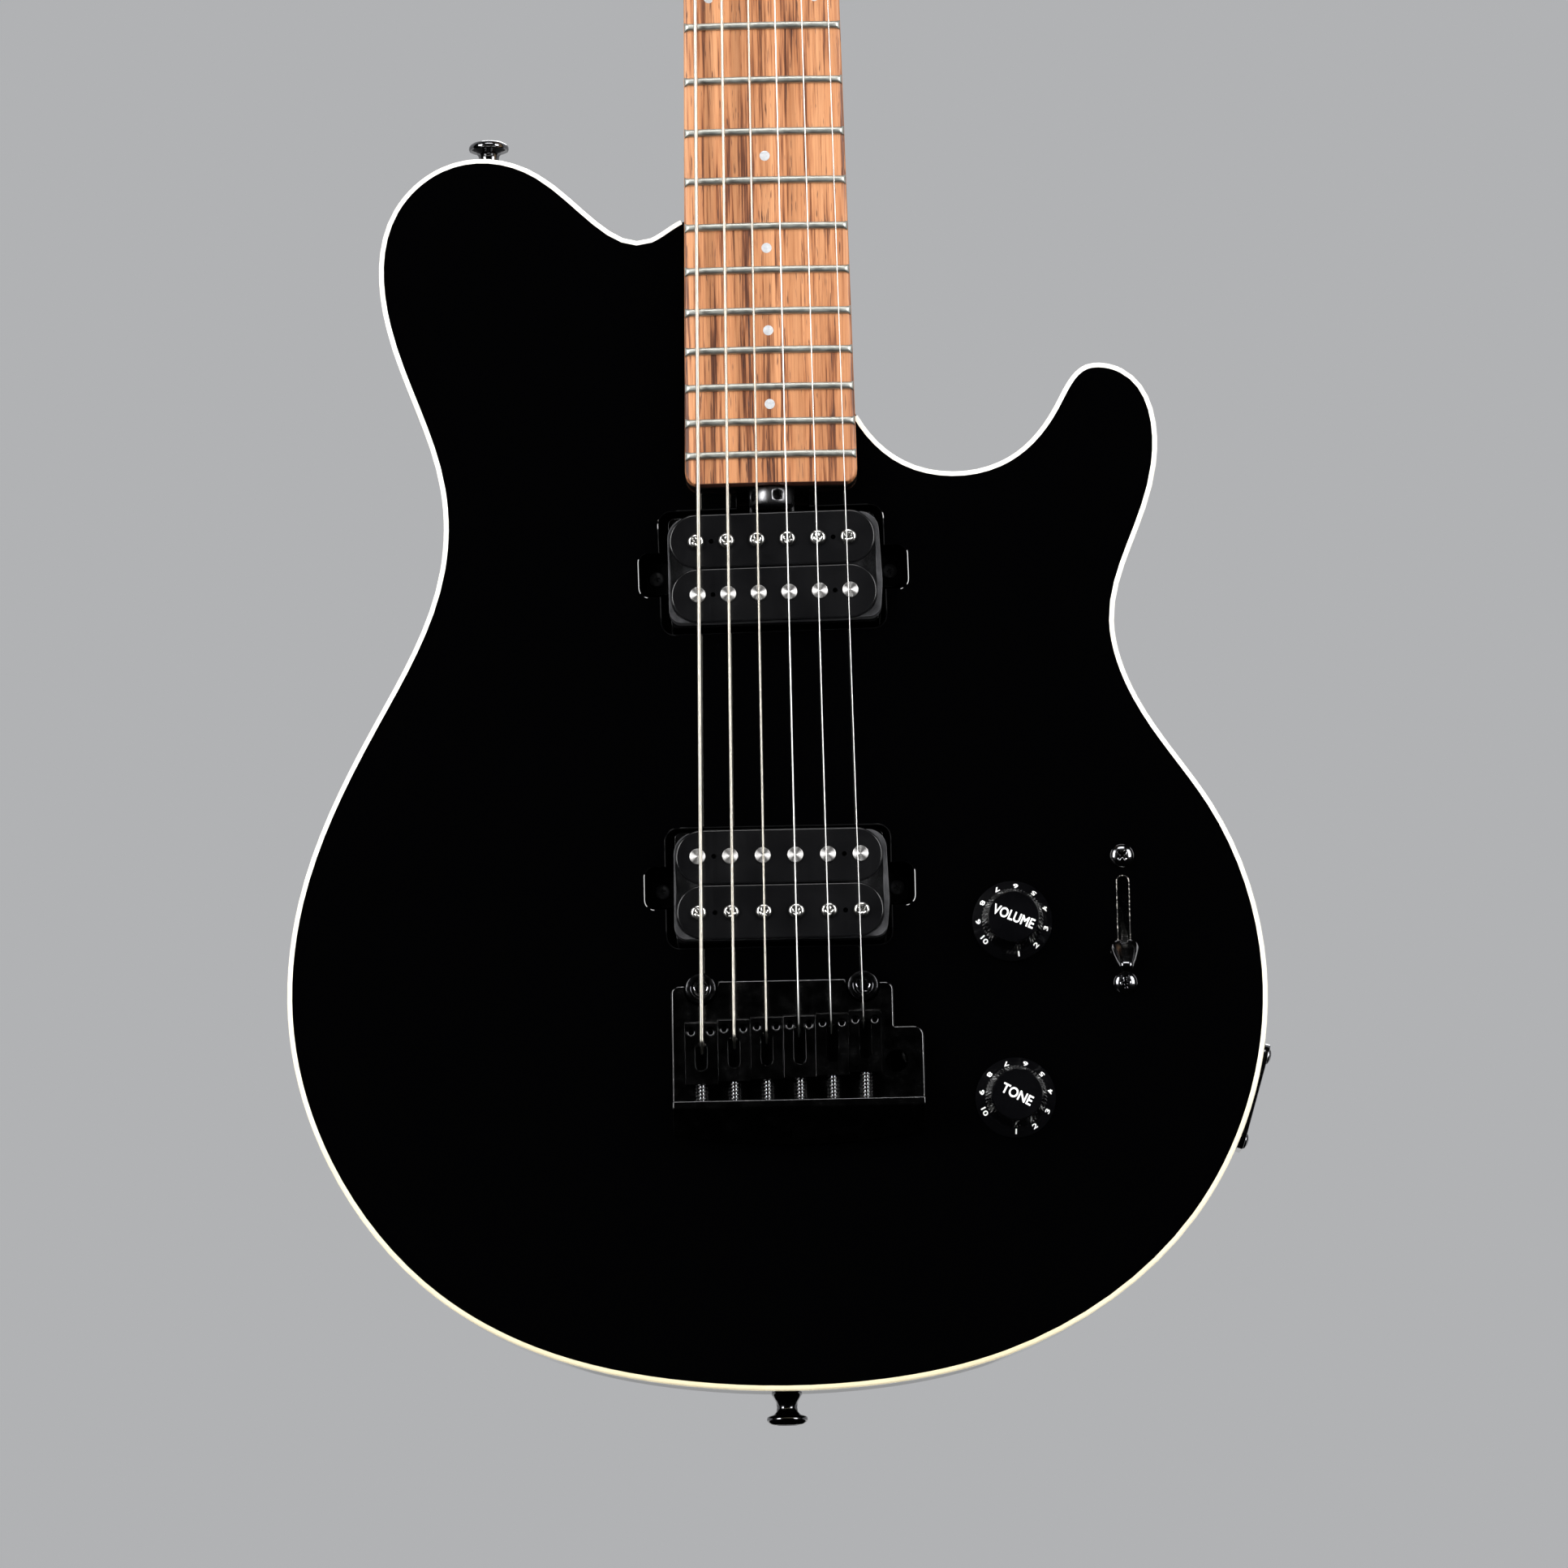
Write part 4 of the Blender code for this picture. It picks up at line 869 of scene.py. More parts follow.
def neck_ring(z, half, thick, square, steps=28):
    """Flat top and a back that runs from round to nearly square as square grows."""
    ring = [(half, NECK_TOP, z)]
    for k in range(1, steps):
        angle = math.pi * k / steps
        c, s = math.cos(angle), math.sin(angle)
        ring.append((half * math.copysign(abs(c) ** (2 / square), c),
                     NECK_TOP + thick * s ** (2 / square), z))
    ring.append((-half, NECK_TOP, z))
    return ring


def make_neck():
    heel = HEEL_FLOOR - NECK_TOP
    stations = [(BOARD_END, heel, 14), (HEEL_TOP - 10, heel, 14), (HEEL_TOP, heel - 0.5, 10),
                (HEEL_TOP + 8, heel - 1.8, 5), (338.0, 15.7, 2.8), (360.0, 15.5, 2.4), (420.0, 15.4, 2.3),
                (560.0, 14.8, 2.3), (NUT_Z - 22, 14.0, 2.3), (NUT_Z - 4, 14.0, 2.6), (NUT_Z + 6, 14.5, 3.4)]
    zs, thicks, squares = (np.array(column) for column in zip(*stations))
    fine = [BOARD_END + d for d in END_STEPS]
    fine += list(np.arange(BOARD_END + 8, NUT_Z + 6, 6.0)) + [NUT_Z + 6]
    rings = [neck_ring(z, neck_width(z) / 2 - end_narrowing(z), float(np.interp(z, zs, thicks)),
                       float(np.interp(z, zs, squares))) for z in fine]
    neck = loft("neck_maple", rings, 40)
    half = smooth_curve(HEAD_HALF, steps=8)
    outline = [tuple(p) for p in half] + [(-x, z) for x, z in half[-2::-1]]
    blade = on_head(round_edges(prism("headstock", outline, 0, HEAD_THICK), 1.6, 4))
    rod_slot = box("rod_slot", (-3.2, NECK_TOP - 2, BOARD_END - 2), (3.2, NECK_TOP + 8, 694.0))
    weld(neck, blade)
    tools = [rod_slot]
    for side in (-1, 1):
        for z in POST_Z:
            tools.append(on_head(turned("post_hole", [(5.3, -2), (5.3, HEAD_THICK + 2)],
                                        (side * POST_X, 0, z), (0, 1, 0), 32)))
    cut(neck, *tools)
    flatten_shading(neck, 38)
    settle(neck, "maple", "maple", replaces=["neck"])


def board_ring(z, steps=20):
    """Cross-section of the fretboard with eased upper edges."""
    half = neck_width(z) / 2 - end_narrowing(z)
    bottom = NECK_TOP - 0.02
    corner = [(half - ease, BOARD_TOP + board_crown(half) + drop, z)
              for ease, drop in ((0.0, 0.9), (0.12, 0.45), (0.42, 0.12))]
    ring = [(-half, bottom, z), (half, bottom, z)] + corner
    for k in range(steps + 1):
        x = (half - 0.9) * (1 - 2 * k / steps)
        ring.append((x, BOARD_TOP + board_crown(x), z))
    return ring + [(-x, y, z) for x, y, z in corner[::-1]]


def make_fretboard():
    fine = [BOARD_END + d for d in END_STEPS]
    fine += list(np.arange(BOARD_END + 12, NUT_Z - 4, 12.0)) + [NUT_Z - 0.02]
    rings = [board_ring(z) for z in fine]
    rings[0] = [(x, y + (0.6 if y < NECK_TOP - 1 else 0), z) for x, y, z in rings[0]]
    settle(loft("fingerboard", rings, 40), "rosewood", "rosewood", replaces=["fretboard"])
    for number in range(1, FRET_COUNT + 1):
        settle(make_fret(number), "fret", "steel")


def make_fret(number):
    """Crowned wire across the board, with its ends filed back."""
    z = fret_z(number)
    half = neck_width(z) / 2 - 0.15
    stations = [(-half, 0.12), (-half + 0.35, 0.5), (-half + 0.8, 0.85), (-half + 1.4, 1.0)]
    inner = [(x, 1.0) for x in np.linspace(-half + 3, half - 3, 13)]
    stations = stations + inner + [(-x, share) for x, share in stations[::-1]]
    rings = []
    for x, share in stations:
        base = BOARD_TOP + board_crown(x)
        wide = FRET_WIDTH / 2 * (1 + 0.3 * (1 - share))
        ring = [(x, base + 0.25, z + wide), (x, base + 0.25, z - wide)]
        for k in range(9):
            angle = math.pi * k / 8
            ring.append((x, base - FRET_HEIGHT * share * math.sin(angle) ** 0.8 - 0.02,
                         z - wide * math.cos(angle)))
        rings.append(ring)
    return loft("fret_%02d" % number, rings, 60)


def make_inlays():
    for number in DOT_FRETS:
        z = (fret_z(number) + fret_z(number - 1)) / 2
        for x in ((-17.2, 17.2) if number == 12 else (0.0,)):
            label = "inlay_dot_%02d%s" % (number, "" if x == 0 else ("_bass" if x < 0 else "_treble"))
            top = BOARD_TOP + board_crown(x)
            dot = turned(label, [(DOT_RADIUS, -1.0), (DOT_RADIUS, 0.03), (DOT_RADIUS - 0.05, 0.06)],
                         (x, top, z), steps=32)
            settle(dot, "pearl", "bone")
        half = neck_width(z) / 2
        for k in range(2 if number == 12 else 1):
            at = (-half, (BOARD_TOP + NECK_TOP) / 2 + 0.4, z + (k * 7.0 if number == 12 else 0.0))
            dot = turned("side_dot_%02d_%d" % (number, k), [(1.0, -0.8), (1.0, 0.04)], at, (-1, 0, 0), 20)
            settle(dot, "ink", "black_plastic")


def make_nut():
    half = neck_width(NUT_Z) / 2
    rings = []
    for k in range(9):
        share = k / 8
        z = NUT_Z + 0.02 + (NUT_DEPTH - 0.02) * share
        drop = 1.6 * share ** 2 + (0.35 if k == 0 else 0.0)
        ring = [(-half, NECK_TOP - 0.02, z), (half, NECK_TOP - 0.02, z)]
        for j in range(25):
            x = half * (1 - j / 12)
            ease = 0.5 if j in (0, 24) else 0.0
            ring.append((x, BOARD_TOP - 2.1 + drop + board_crown(x) + ease, z))
        rings.append(ring)
    nut = loft("nut_slotted", rings, 40)
    slots = []
    for index in range(6):
        x = string_x(index, NUT_PITCH)
        radius = STRING_RADII[index] + 0.12
        y = STRING_AT_NUT + board_crown(x) - STRING_RADII[index]
        slots.append(sweep("nut_slot", [(x, y - 0.1, NUT_Z - 1), (x, y + 0.2, NUT_Z + 1.8),
                                        (x, y + 1.4, NUT_Z + 6)], radius, 12))
        slots.append(box("nut_way", (x - radius, y - 4, NUT_Z - 1), (x + radius, y, NUT_Z + 6)))
    cut(nut, *slots)
    settle(nut, "bone", "bone", replaces=["nut"])


def make_truss_wheel():
    """Adjusting wheel with five tommy-bar holes, on the end of its rod."""
    low, high = extent("truss_rod")
    x, y, _ = middle("truss_rod")
    radius = (high[0] - low[0]) / 2
    z0, z1 = low[2], low[2] + 5.8
    profile = [(radius - 1.0, z0), (radius - 0.3, z0 + 0.3), (radius, z0 + 1.0), (radius, z1 - 1.0),
               (radius - 0.3, z1 - 0.3), (radius - 1.0, z1), (2.5, z1), (2.5, high[2])]
    wheel = turned("truss_rod_wheel", profile, (x, y, 0), (0, 0, 1), 64, 40)
    holes = []
    for k in range(5):
        angle = math.radians(-75 + 72 * k)
        aim = (math.cos(angle), math.sin(angle), 0)
        holes.append(turned("spoke_hole", [(1.6, 3.5), (1.6, radius - 0.35), (2.1, radius + 0.4), (2.1, 10)],
                            (x, y, (z0 + z1) / 2), aim, 24))
    cut(wheel, *holes)
    settle(wheel, "wheel", "black_metal", "truss_rod", ["truss_rod"])


# ---------------------------------------------------------------- strings and tuners

def string_x(index, pitch):
    return (2.5 - index) * pitch


def post_place(index):
    side = 1 if index < 3 else -1
    return side, POST_Z[index] if side > 0 else POST_Z[5 - index]


def make_string(index):
    """From the tremolo block over its saddle and the nut to its turns round the post."""
    radius = STRING_RADII[index]
    side, post_z = post_place(index)
    nut_x, saddle_x = string_x(index, NUT_PITCH), string_x(index, SADDLE_PITCH)
    crest = SADDLE_CRESTS[index]
    over_nut = STRING_AT_NUT + board_crown(nut_x) - radius
    over_saddle = STRING_AT_SADDLE + board_crown(saddle_x) - radius
    path = [(saddle_x, PLATE_TOP + 0.3, crest - 4.2), (saddle_x, over_saddle + 3.4, crest - 2.2),
            (saddle_x, over_saddle + 1.4, crest - 0.9), (saddle_x, over_saddle + 0.3, crest - 0.2)]
    start, end = Vector((saddle_x, over_saddle, crest + 0.6)), Vector((nut_x, over_nut, NUT_Z))
    near = [k / 60 for k in range(0, 9)] + [0.2, 0.35, 0.5, 0.65, 0.8, 0.95, 1.0]
    path += [tuple(start.lerp(end, share)) for share in near]
    path.append((nut_x, over_nut + 0.25, NUT_Z + 1.9))
    ring = POST_WAIST + radius
    turns = 2.6 if radius > 0.3 else 4.2
    steps = 16
    entry = head_point(side * (POST_X - ring), -POST_REST, post_z)
    toward = Vector(path[-1])
    path += [tuple(toward.lerp(entry, share)) for share in (0.05, 0.5)]
    for k in range(int(turns * steps) + 1):
        turn = 2 * math.pi * k / steps
        x = side * (POST_X - ring * math.cos(turn))
        z = post_z + ring * math.sin(turn)
        drop = -POST_REST + 2.15 * radius * turn / (2 * math.pi)
        path.append(tuple(head_point(x, min(drop, -2.6), z)))
    wire = sweep("string_wire_%d" % (index + 1), path, radius, 12)
    stretch(wire, "wound" if index >= WOUND_FROM else "plain", ROOT, "tremolo", (0, 0, 95), (0, 0, 62))
    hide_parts("string_%d" % (index + 1))


def make_tuner(index):
    side, z = post_place(index)
    x = side * POST_X
    label = "_%d" % (index + 1)
    case = prism("tuner_case" + label, rounded_box(x - 8, x + 8, z - 10.9, z + 10.9, 4, 6),
                 HEAD_THICK + 0.02, HEAD_THICK + 11.3)
    round_edges(case, 2.2, 4)
    ear = prism("ear", fillet([(x - 4, z - 15, 3.9), (x + 4, z - 15, 3.9), (x + 4, z, 0), (x - 4, z, 0)]),
                HEAD_THICK + 0.02, HEAD_THICK + 2.0)
    neck_tube = turned("key_tube", [(4.3, 6.0), (4.3, 9.6), (3.7, 10.2)], (x, KEY_DEPTH, z), (side, 0, 0), 32)
    weld(case, ear, neck_tube)
    bore = turned("bore", [(3.3, -4), (3.3, HEAD_THICK + 8)], (x, 0, z), (0, 1, 0), 32)
    key_bore = turned("key_bore", [(2.3, 5), (2.3, 14)], (x, KEY_DEPTH, z), (side, 0, 0), 24)
    cut(case, bore, key_bore)
    on_head(flatten_shading(case, 40))
    settle(case, "chrome", "black_metal", replaces=["tuner_housing" + label])

    screw_at = head_point(x, HEAD_THICK + 2.0, z - 12.6)
    domed_screw("tuner_screw" + label, screw_at, HEAD.to_3x3() @ Vector((0, 1, 0)), 2.1, 1.0,
                turn=0.2 * index)
    bush = turned("tuner_bushing" + label, [(5.2, -(HEAD_THICK - 1)), (5.2, 0.2), (7.0, 0.2), (7.0, 0.9),
                                            (6.6, 1.2), (5.4, 1.3), (5.0, 2.2), (3.2, 2.2),
                                            (3.2, -(HEAD_THICK - 2))], (x, 0, z), (0, -1, 0), 48)
    settle(on_head(bush), "chrome", "black_metal")

    deep = HEAD_THICK + 7.0
    profile = [(POST_RADIUS, -deep), (POST_RADIUS, 4.6), (2.9, 5.0), (POST_WAIST, 5.8), (POST_WAIST, 9.0),
               (2.9, 10.2), (POST_RADIUS, 10.6), (POST_RADIUS, 12.4), (2.7, 12.9), (1.2, 13.0)]
    post = turned("string_post" + label, profile, (x, 0, z), (0, -1, 0), 40, 40)
    cut(post, turned("string_hole", [(0.75, -6), (0.75, 6)], (x, -7.4, z), (1, 0, 0), 16))
    settle(on_head(post), "chrome", "black_metal", "tuner_post" + label, ["tuner_post" + label])

    stations = [(5.6, 1.9, 1.9), (10.4, 1.9, 1.9), (10.6, 2.9, 2.9), (13.8, 2.9, 2.9), (14.2, 2.4, 2.5),
                (15.4, 2.2, 2.9), (16.6, 2.6, 4.8), (18.0, 3.1, 7.2), (20.0, 3.4, 8.7), (22.5, 3.5, 9.2),
                (25.5, 3.4, 9.2), (28.0, 3.1, 8.3), (29.6, 2.5, 6.8), (30.4, 1.4, 4.6)]
    rings = [[(side * along, wide * math.sin(a), tall * math.cos(a))
              for a in (2 * math.pi * k / 32 for k in range(32))] for along, wide, tall in stations]
    key = loft("tuner_button" + label, rings, 45)
    key.data.transform(Matrix.Translation(Vector((x, KEY_DEPTH, z)) * MM))
    settle(on_head(key), "chrome", "black_metal", "tuner_key" + label, ["tuner_key" + label])


# ---------------------------------------------------------------- pickups

def make_pickup(label, centre, turn, pole_pitch, row_offset, screws_up):
    """Two bobbins with their coils and tape, pole screws in one and slugs in the other."""
    spin = Matrix.Rotation(-math.radians(turn), 4, "Y")
    place = Matrix.Translation(Vector((centre[0], 0, centre[1])) * MM) @ spin
    half_x, half_z = BOBBIN_LENGTH / 2, BOBBIN_WIDTH / 2

    def put(piece, look, slot, **more):
        piece.data.transform(place)
        return settle(piece, look, slot, **more)

    for up in (True, False):
        side = 1 if up else -1
        z = side * BOBBIN_PITCH / 2
        row = side * row_offset
        name = "%s_bobbin_%s" % (label, "upper" if up else "lower")
        top = eased(name, rounded_box(-half_x, half_x, z - half_z, z + half_z, half_z - 0.05, 14),
                    BOBBIN_TOP, FLANGE_FLOOR, 0.7)
        tools = [turned("wire_hole", [(0.8, -3), (0.8, 3)], (s * 2 * pole_pitch, BOBBIN_TOP, row), steps=16)
                 for s in (-1, 1)]
        flatten_shading(cut(top, *tools), 25)
        put(top, "bobbin", "black_plastic", replaces=[label + "_pickup_bobbins"] if up else ())
        winding = rounded_box(-half_x + 1.2, half_x - 1.2, z - half_z + 1.2, z + half_z - 1.2,
                              half_z - 1.3, 10)
        put(prism(name.replace("bobbin", "coil"), winding, FLANGE_FLOOR, COIL_FLOOR),
            "winding", "black_plastic")
        has_screws = up == screws_up
        for k in range(6):
            x = (k - 2.5) * pole_pitch
            pole = "%s_%s_%d" % (label, "pole_screw" if has_screws else "slug", k + 1)
            if has_screws:
                profile = [(2.0, -2.0), (2.45, 0.02), (2.5, 0.6), (2.3, 0.95), (1.7, 1.15), (0.2, 1.2)]
                piece = turned(pole, profile, (x, BOBBIN_TOP, row), steps=32, sharp=50)
                cross_cut(piece, (x, BOBBIN_TOP - 1.2, row), (0, -1, 0), 1.45, 0.8, 0.5 + 0.7 * k)
            else:
                profile = [(2.55, -1.5), (2.55, 0.30), (2.4, 0.48), (0.2, 0.50)]
                piece = turned(pole, profile, (x, BOBBIN_TOP, row), steps=48, sharp=24)
            put(piece, "steel" if has_screws else "slug", "steel")
    outline = fillet([(-34.1, -17.3, 4), (34.2, -17.3, 4), (35.2, -6, 20), (34.4, 17.2, 6),
                      (-33.8, 17.2, 7)], 8)
    wrap = prism(label + "_coil_wrap", outline, BOBBIN_TOP + 2.2, COIL_FLOOR)
    cut(wrap, prism("wrap_room", rounded_box(-33.3, 33.3, -16.8, 16.8, 7, 8), BOBBIN_TOP - 2, FRONT - 0.4))
    put(round_edges(wrap, 0.2, 2), "tape", "black_plastic")
    plate = prism(label + "_base_plate", rounded_box(-33.5, 33.5, -18, 18, 2),
                  BASE_TOP, BASE_TOP + BASE_THICK)
    for side in (-1, 1):
        inner, knee, outer = (side * x for x in (31.0, 33.5, 41.5))
        leg = box("leg", (min(inner, knee), BASE_TOP + 0.5, -5), (max(inner, knee), EAR_FLOOR, 5))
        ear = prism("ear", rounded_box(min(inner, outer), max(inner, outer), -5, 5, 2.5),
                    EAR_FLOOR - BASE_THICK, EAR_FLOOR)
        weld(plate, leg, ear)
    put(round_edges(plate, 0.2, 2), "bridge", "black_metal", replaces=[label + "_pickup_base"])
    for name, side in SIDES:
        at = place @ (Vector((side * 38, EAR_FLOOR - BASE_THICK, 0)) * MM) / MM
        domed_screw("%s_mount_screw_%s" % (label, name), at, (0, -1, 0), 2.4, 1.3, "cover")


# ---------------------------------------------------------------- tremolo

def make_tremolo():
    low = PLATE_TOP + PLATE_THICK
    left, right, step_x = -35.5, 45.1, 35.6
    outline = fillet([(left, 18.0, 0), (right, 18.0, 0), (right, 55.8, 3.2),
                      (step_x, 55.8, 0.5), (step_x, 70.2, 2.6), (20.5, 70.2, 0), (20.5, 71.4, 0.5),
                      (-20.5, 71.4, 0.5), (-20.5, 70.0, 0), (left, 70.0, 2.6)], 6)
    plate = eased("tremolo_base", outline, PLATE_TOP, low, 0.6)
    side = [(PLATE_TOP + 0.5, 32.5), (PLATE_TOP - 7.6, 32.5), (PLATE_TOP - 7.6, 29.9),
            (low - 1.7, 18.0), (low - 1.0, 17.0), (low, 17.0), (low, 32.5)]
    bar = round_edges(loft("bar", [[(x, y, z) for y, z in side] for x in (left, right)]), 0.5, 4)
    middle_x, reach = (left + right) / 2, (right - left) / 2
    bow = [(middle_x + reach * t, 18.9 + 3.5 * t * t) for t in np.linspace(1.05, -1.05, 29)]
    trim = prism("trim", [(left - 4, 8), (right + 4, 8)] + bow, low - 14, low + 3)
    weld(plate, bar)
    cut(plate, trim)
    tools = []
    for sign in (-1, 1):
        tools.append(turned("notch", [(STUD_RADIUS + 0.7, -6), (STUD_RADIUS + 0.7, 6)],
                            (sign * STUD_X, PLATE_TOP, PIVOT[2]), steps=48))
    tools.append(turned("arm_hole", [(3.35, -30), (3.35, -0.5), (3.75, 0.1), (3.75, 10)],
                        (ARM_HOLE[0], PLATE_TOP, ARM_HOLE[1]), steps=48))
    flatten_shading(cut(plate, *tools), 25)
    settle(plate, "bridge", "black_metal", "tremolo", ["tremolo_plate"])

    top = FRONT - PLATE_TOP + 2.5
    profile = [(4.0, -19), (4.0, 0.3), (STUD_RADIUS, 0.3), (STUD_RADIUS, top - 0.7),
               (STUD_RADIUS - 0.3, top - 0.2), (STUD_RADIUS - 0.9, top), (3.3, top), (3.1, top - 0.5),
               (2.75, top - 0.5)]
    for name, sign in SIDES:
        at = (sign * STUD_X, FRONT, PIVOT[2])
        stud = turned("stud_" + name, profile, at, steps=48, sharp=38)
        cut(stud, turned("hex", [(2.0, top - 3), (2.0, top + 2)], at, steps=6))
        settle(stud, "chrome", "black_metal", replaces=["pivot_stud_" + name])

    block_low, block_high = extent("tremolo_block")
    block = box("sustain_block", (-33, block_low[1], 36), (33, block_high[1], 50))
    lug = box("lug", (30, block_low[1], 39.1), (block_high[0], block_low[1] + 17.7, 50))
    weld(block, lug)
    cut(block, turned("arm_bore", [(3.35, -30), (3.35, 10)], (ARM_HOLE[0], PLATE_TOP, ARM_HOLE[1]), steps=32))
    holes = [turned("string_hole", [(2.6, 0), (2.6, 6)], (string_x(k, SADDLE_PITCH), block_high[1] - 5, 43),
                    (0, 1, 0), 24) for k in range(6)]
    cut(block, *holes)
    round_edges(block, 0.6, 2)
    settle(block, "bridge", "black_metal", "tremolo", ["tremolo_block"])


def make_saddle(index):
    """Block saddle with a round-ended slot, two height screws and its sprung length screw."""
    label = "saddle_%d" % (index + 1)
    low, high = extent(label)
    x = (low[0] + high[0]) / 2
    front, rear = high[2], low[2]
    top = float(STRING_AT_SADDLE + board_crown(x) + 0.02)
    bottom = PLATE_TOP - 0.9
    crest = SADDLE_CRESTS[index]
    side = [(bottom, front), (top + 0.5, front), (top, front - 0.5), (top, rear), (bottom, rear)]
    block = loft("string_" + label, [[(x + s * SADDLE_HALF, y, z) for y, z in side] for s in (-1, 1)])
    slot = prism("slot", rounded_box(x - SLOT_HALF, x + SLOT_HALF, front - 15.85, crest, SLOT_HALF - 0.05, 8),
                 top - 3, bottom - 1.0)
    places = [(x + s * WELL_OUT, top, front - WELL_BACK) for s in (-1, 1)]
    wells = [turned("well", [(1.5, -2.2), (1.5, 4)], place, steps=24) for place in places]
    way, radius = string_x(index, SADDLE_PITCH), STRING_RADII[index]
    groove = sweep("groove", [(way, top - radius * 0.6, z) for z in (front + 2, crest - 2)], radius + 0.1, 12)
    # Room under the string for the saddle's travel towards the tail
    reach = radius + 0.2
    deep = top + 2 * reach
    ramp_side = [(top - 3, crest - 1), (top - 3, crest + 3.7), (top + 0.2, crest + 3.7),
                 (deep + 1.3, crest + 2.3), (deep + 3.4, crest + 0.9), (bottom - 0.8, crest),
                 (bottom - 0.8, crest - 1)]
    notch = loft("notch", [[(way + s * reach, y, z) for y, z in ramp_side] for s in (-1, 1)])
    height = (top + PLATE_TOP) / 2 - 1.0
    bore = turned("bore", [(1.25, rear - 2), (1.25, rear + 6)], (x, height, 0), (0, 0, 1), 20)
    cut(block, slot, groove, notch, bore, *wells)
    round_edges(block, 0.3, 3, 30)
    settle(block, "bridge", "black_metal", label, [label])
    profile = [(1.42, top - PLATE_TOP + 0.1), (1.42, -1.3), (1.25, -1.1), (0.8, -1.1)]
    for (name, _), place in zip(SIDES, places):
        screw = turned("%s_height_%s" % (label, name), profile, place, steps=24, sharp=40)
        cut(screw, turned("hex", [(1.0, -2.6), (1.0, 1)], place, steps=6))
        settle(screw, "bridge", "black_metal", label)
    shank = turned(label + "_length_screw", [(1.1, 31.0), (1.1, rear + 2.0)], (x, height, 0), (0, 0, 1), 20)
    settle(shank, "chrome", "black_metal", "tremolo")
    spring = coil(label + "_length_spring", (x, height, SPRING_SEAT), (x, height, rear), 1.75, 0.26,
                  (rear - SPRING_SEAT) / 1.15, 16, 8)
    stretch(spring, "spring", "tremolo", label, (x, height, SPRING_SEAT + 0.4), (x, height, rear))


def make_springs():
    for number in (1, 2, 3):
        name = "tremolo_spring_%d" % number
        low, high = extent(name)
        x, y, _ = middle(name)
        lower, upper = low[2] + 6, high[2] - 5
        spring = coil("block_spring_%d" % number, (x, y, lower), (x, y, upper), 3.4, 0.45, 84, 12, 6)
        stretch(spring, "spring", ROOT, "tremolo", (0, 0, 145), (0, 0, 52))
        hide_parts(name)
        for tail, z0, z1, body in (("claw", upper, upper + 8, ROOT), ("block", lower, lower - 8, "tremolo")):
            hook = sweep("spring_hook_%s_%d" % (tail, number),
                         [(x, y + 3.4, z0), (x, y + 2.4, z0 + (z1 - z0) * 0.3), (x, y, z0 + (z1 - z0) * 0.5),
                          (x, y, z1)], 0.45, 8)
            settle(hook, "spring", "steel", body)
    low, high = extent("spring_claw")
    claw = prism("claw_plate", rounded_box(-22, 22, 161, 163.5, 0.4, 3), low[1], high[1])
    cut(claw, *[box("notch", (x - 2, -30, 160), (x + 2, -12, 162.2)) for x in (-16, 0, 16)])
    settle(round_edges(claw, 0.3, 2), "steel", "steel", replaces=["spring_claw"])
    profile = [(3.6, 158.4), (3.6, 160.4), (1.9, 160.8), (1.9, 171.8)]
    for name, side in SIDES:
        screw = turned("claw_screw_" + name, profile, (side * 8, -9.5, 0), (0, 0, 1), 24)
        settle(screw, "steel", "steel")


def make_covers():
    x0, x1, z0, z1 = TREMOLO_COVER
    rear = prism("back_cover", rounded_box(x0 + 0.3, x1 - 0.3, z0 + 0.3, z1 - 0.3, 6.7, 8), -2.1, -0.1)
    cut(rear, prism("slot", rounded_box(-32, 32, 37, 49, 5.9, 8), -6, 4))
    settle(round_edges(rear, 0.35, 2), "cover", "black_plastic", replaces=["tremolo_cover"])
    spots = [(x, z) for x in (-37, 37) for z in (23, 98, 173)]
    for k, (x, z) in enumerate(spots):
        domed_screw("back_cover_screw_%d" % (k + 1), (x, -0.35, z), (0, 1, 0), 2.3, 0.35, turn=0.4 * k)
    lid = prism("control_lid", fillet(grown(CONTROL_CAVITY, 5.7)), -2.1, -0.1)
    settle(round_edges(lid, 0.35, 2), "cover", "black_plastic", replaces=["control_cover"])
    for k, (x, z) in enumerate([(56, 10), (54, 108), (108, 7), (134, 68), (112, 124)]):
        domed_screw("control_lid_screw_%d" % (k + 1), (x, -0.35, z), (0, 1, 0), 2.3, 0.35, turn=0.5 * k)
    profile = [(6.0, -2.0), (6.0, 0.0), (5.4, 0.25), (3.6, 0.1), (3.2, -0.8)]
    for k, (x, z) in enumerate([(-17, 246), (17, 244), (-17, 288), (10, 278), (-6, 262)]):
        ring = turned("neck_ferrule_%d" % (k + 1), profile, (x, -0.25, z), (0, 1, 0), 40)
        settle(ring, "chrome", "black_metal")
        domed_screw("neck_screw_%d" % (k + 1), (x, -1.0, z), (0, 1, 0), 3.1, 0.9, turn=0.35 * k)


# ---------------------------------------------------------------- controls

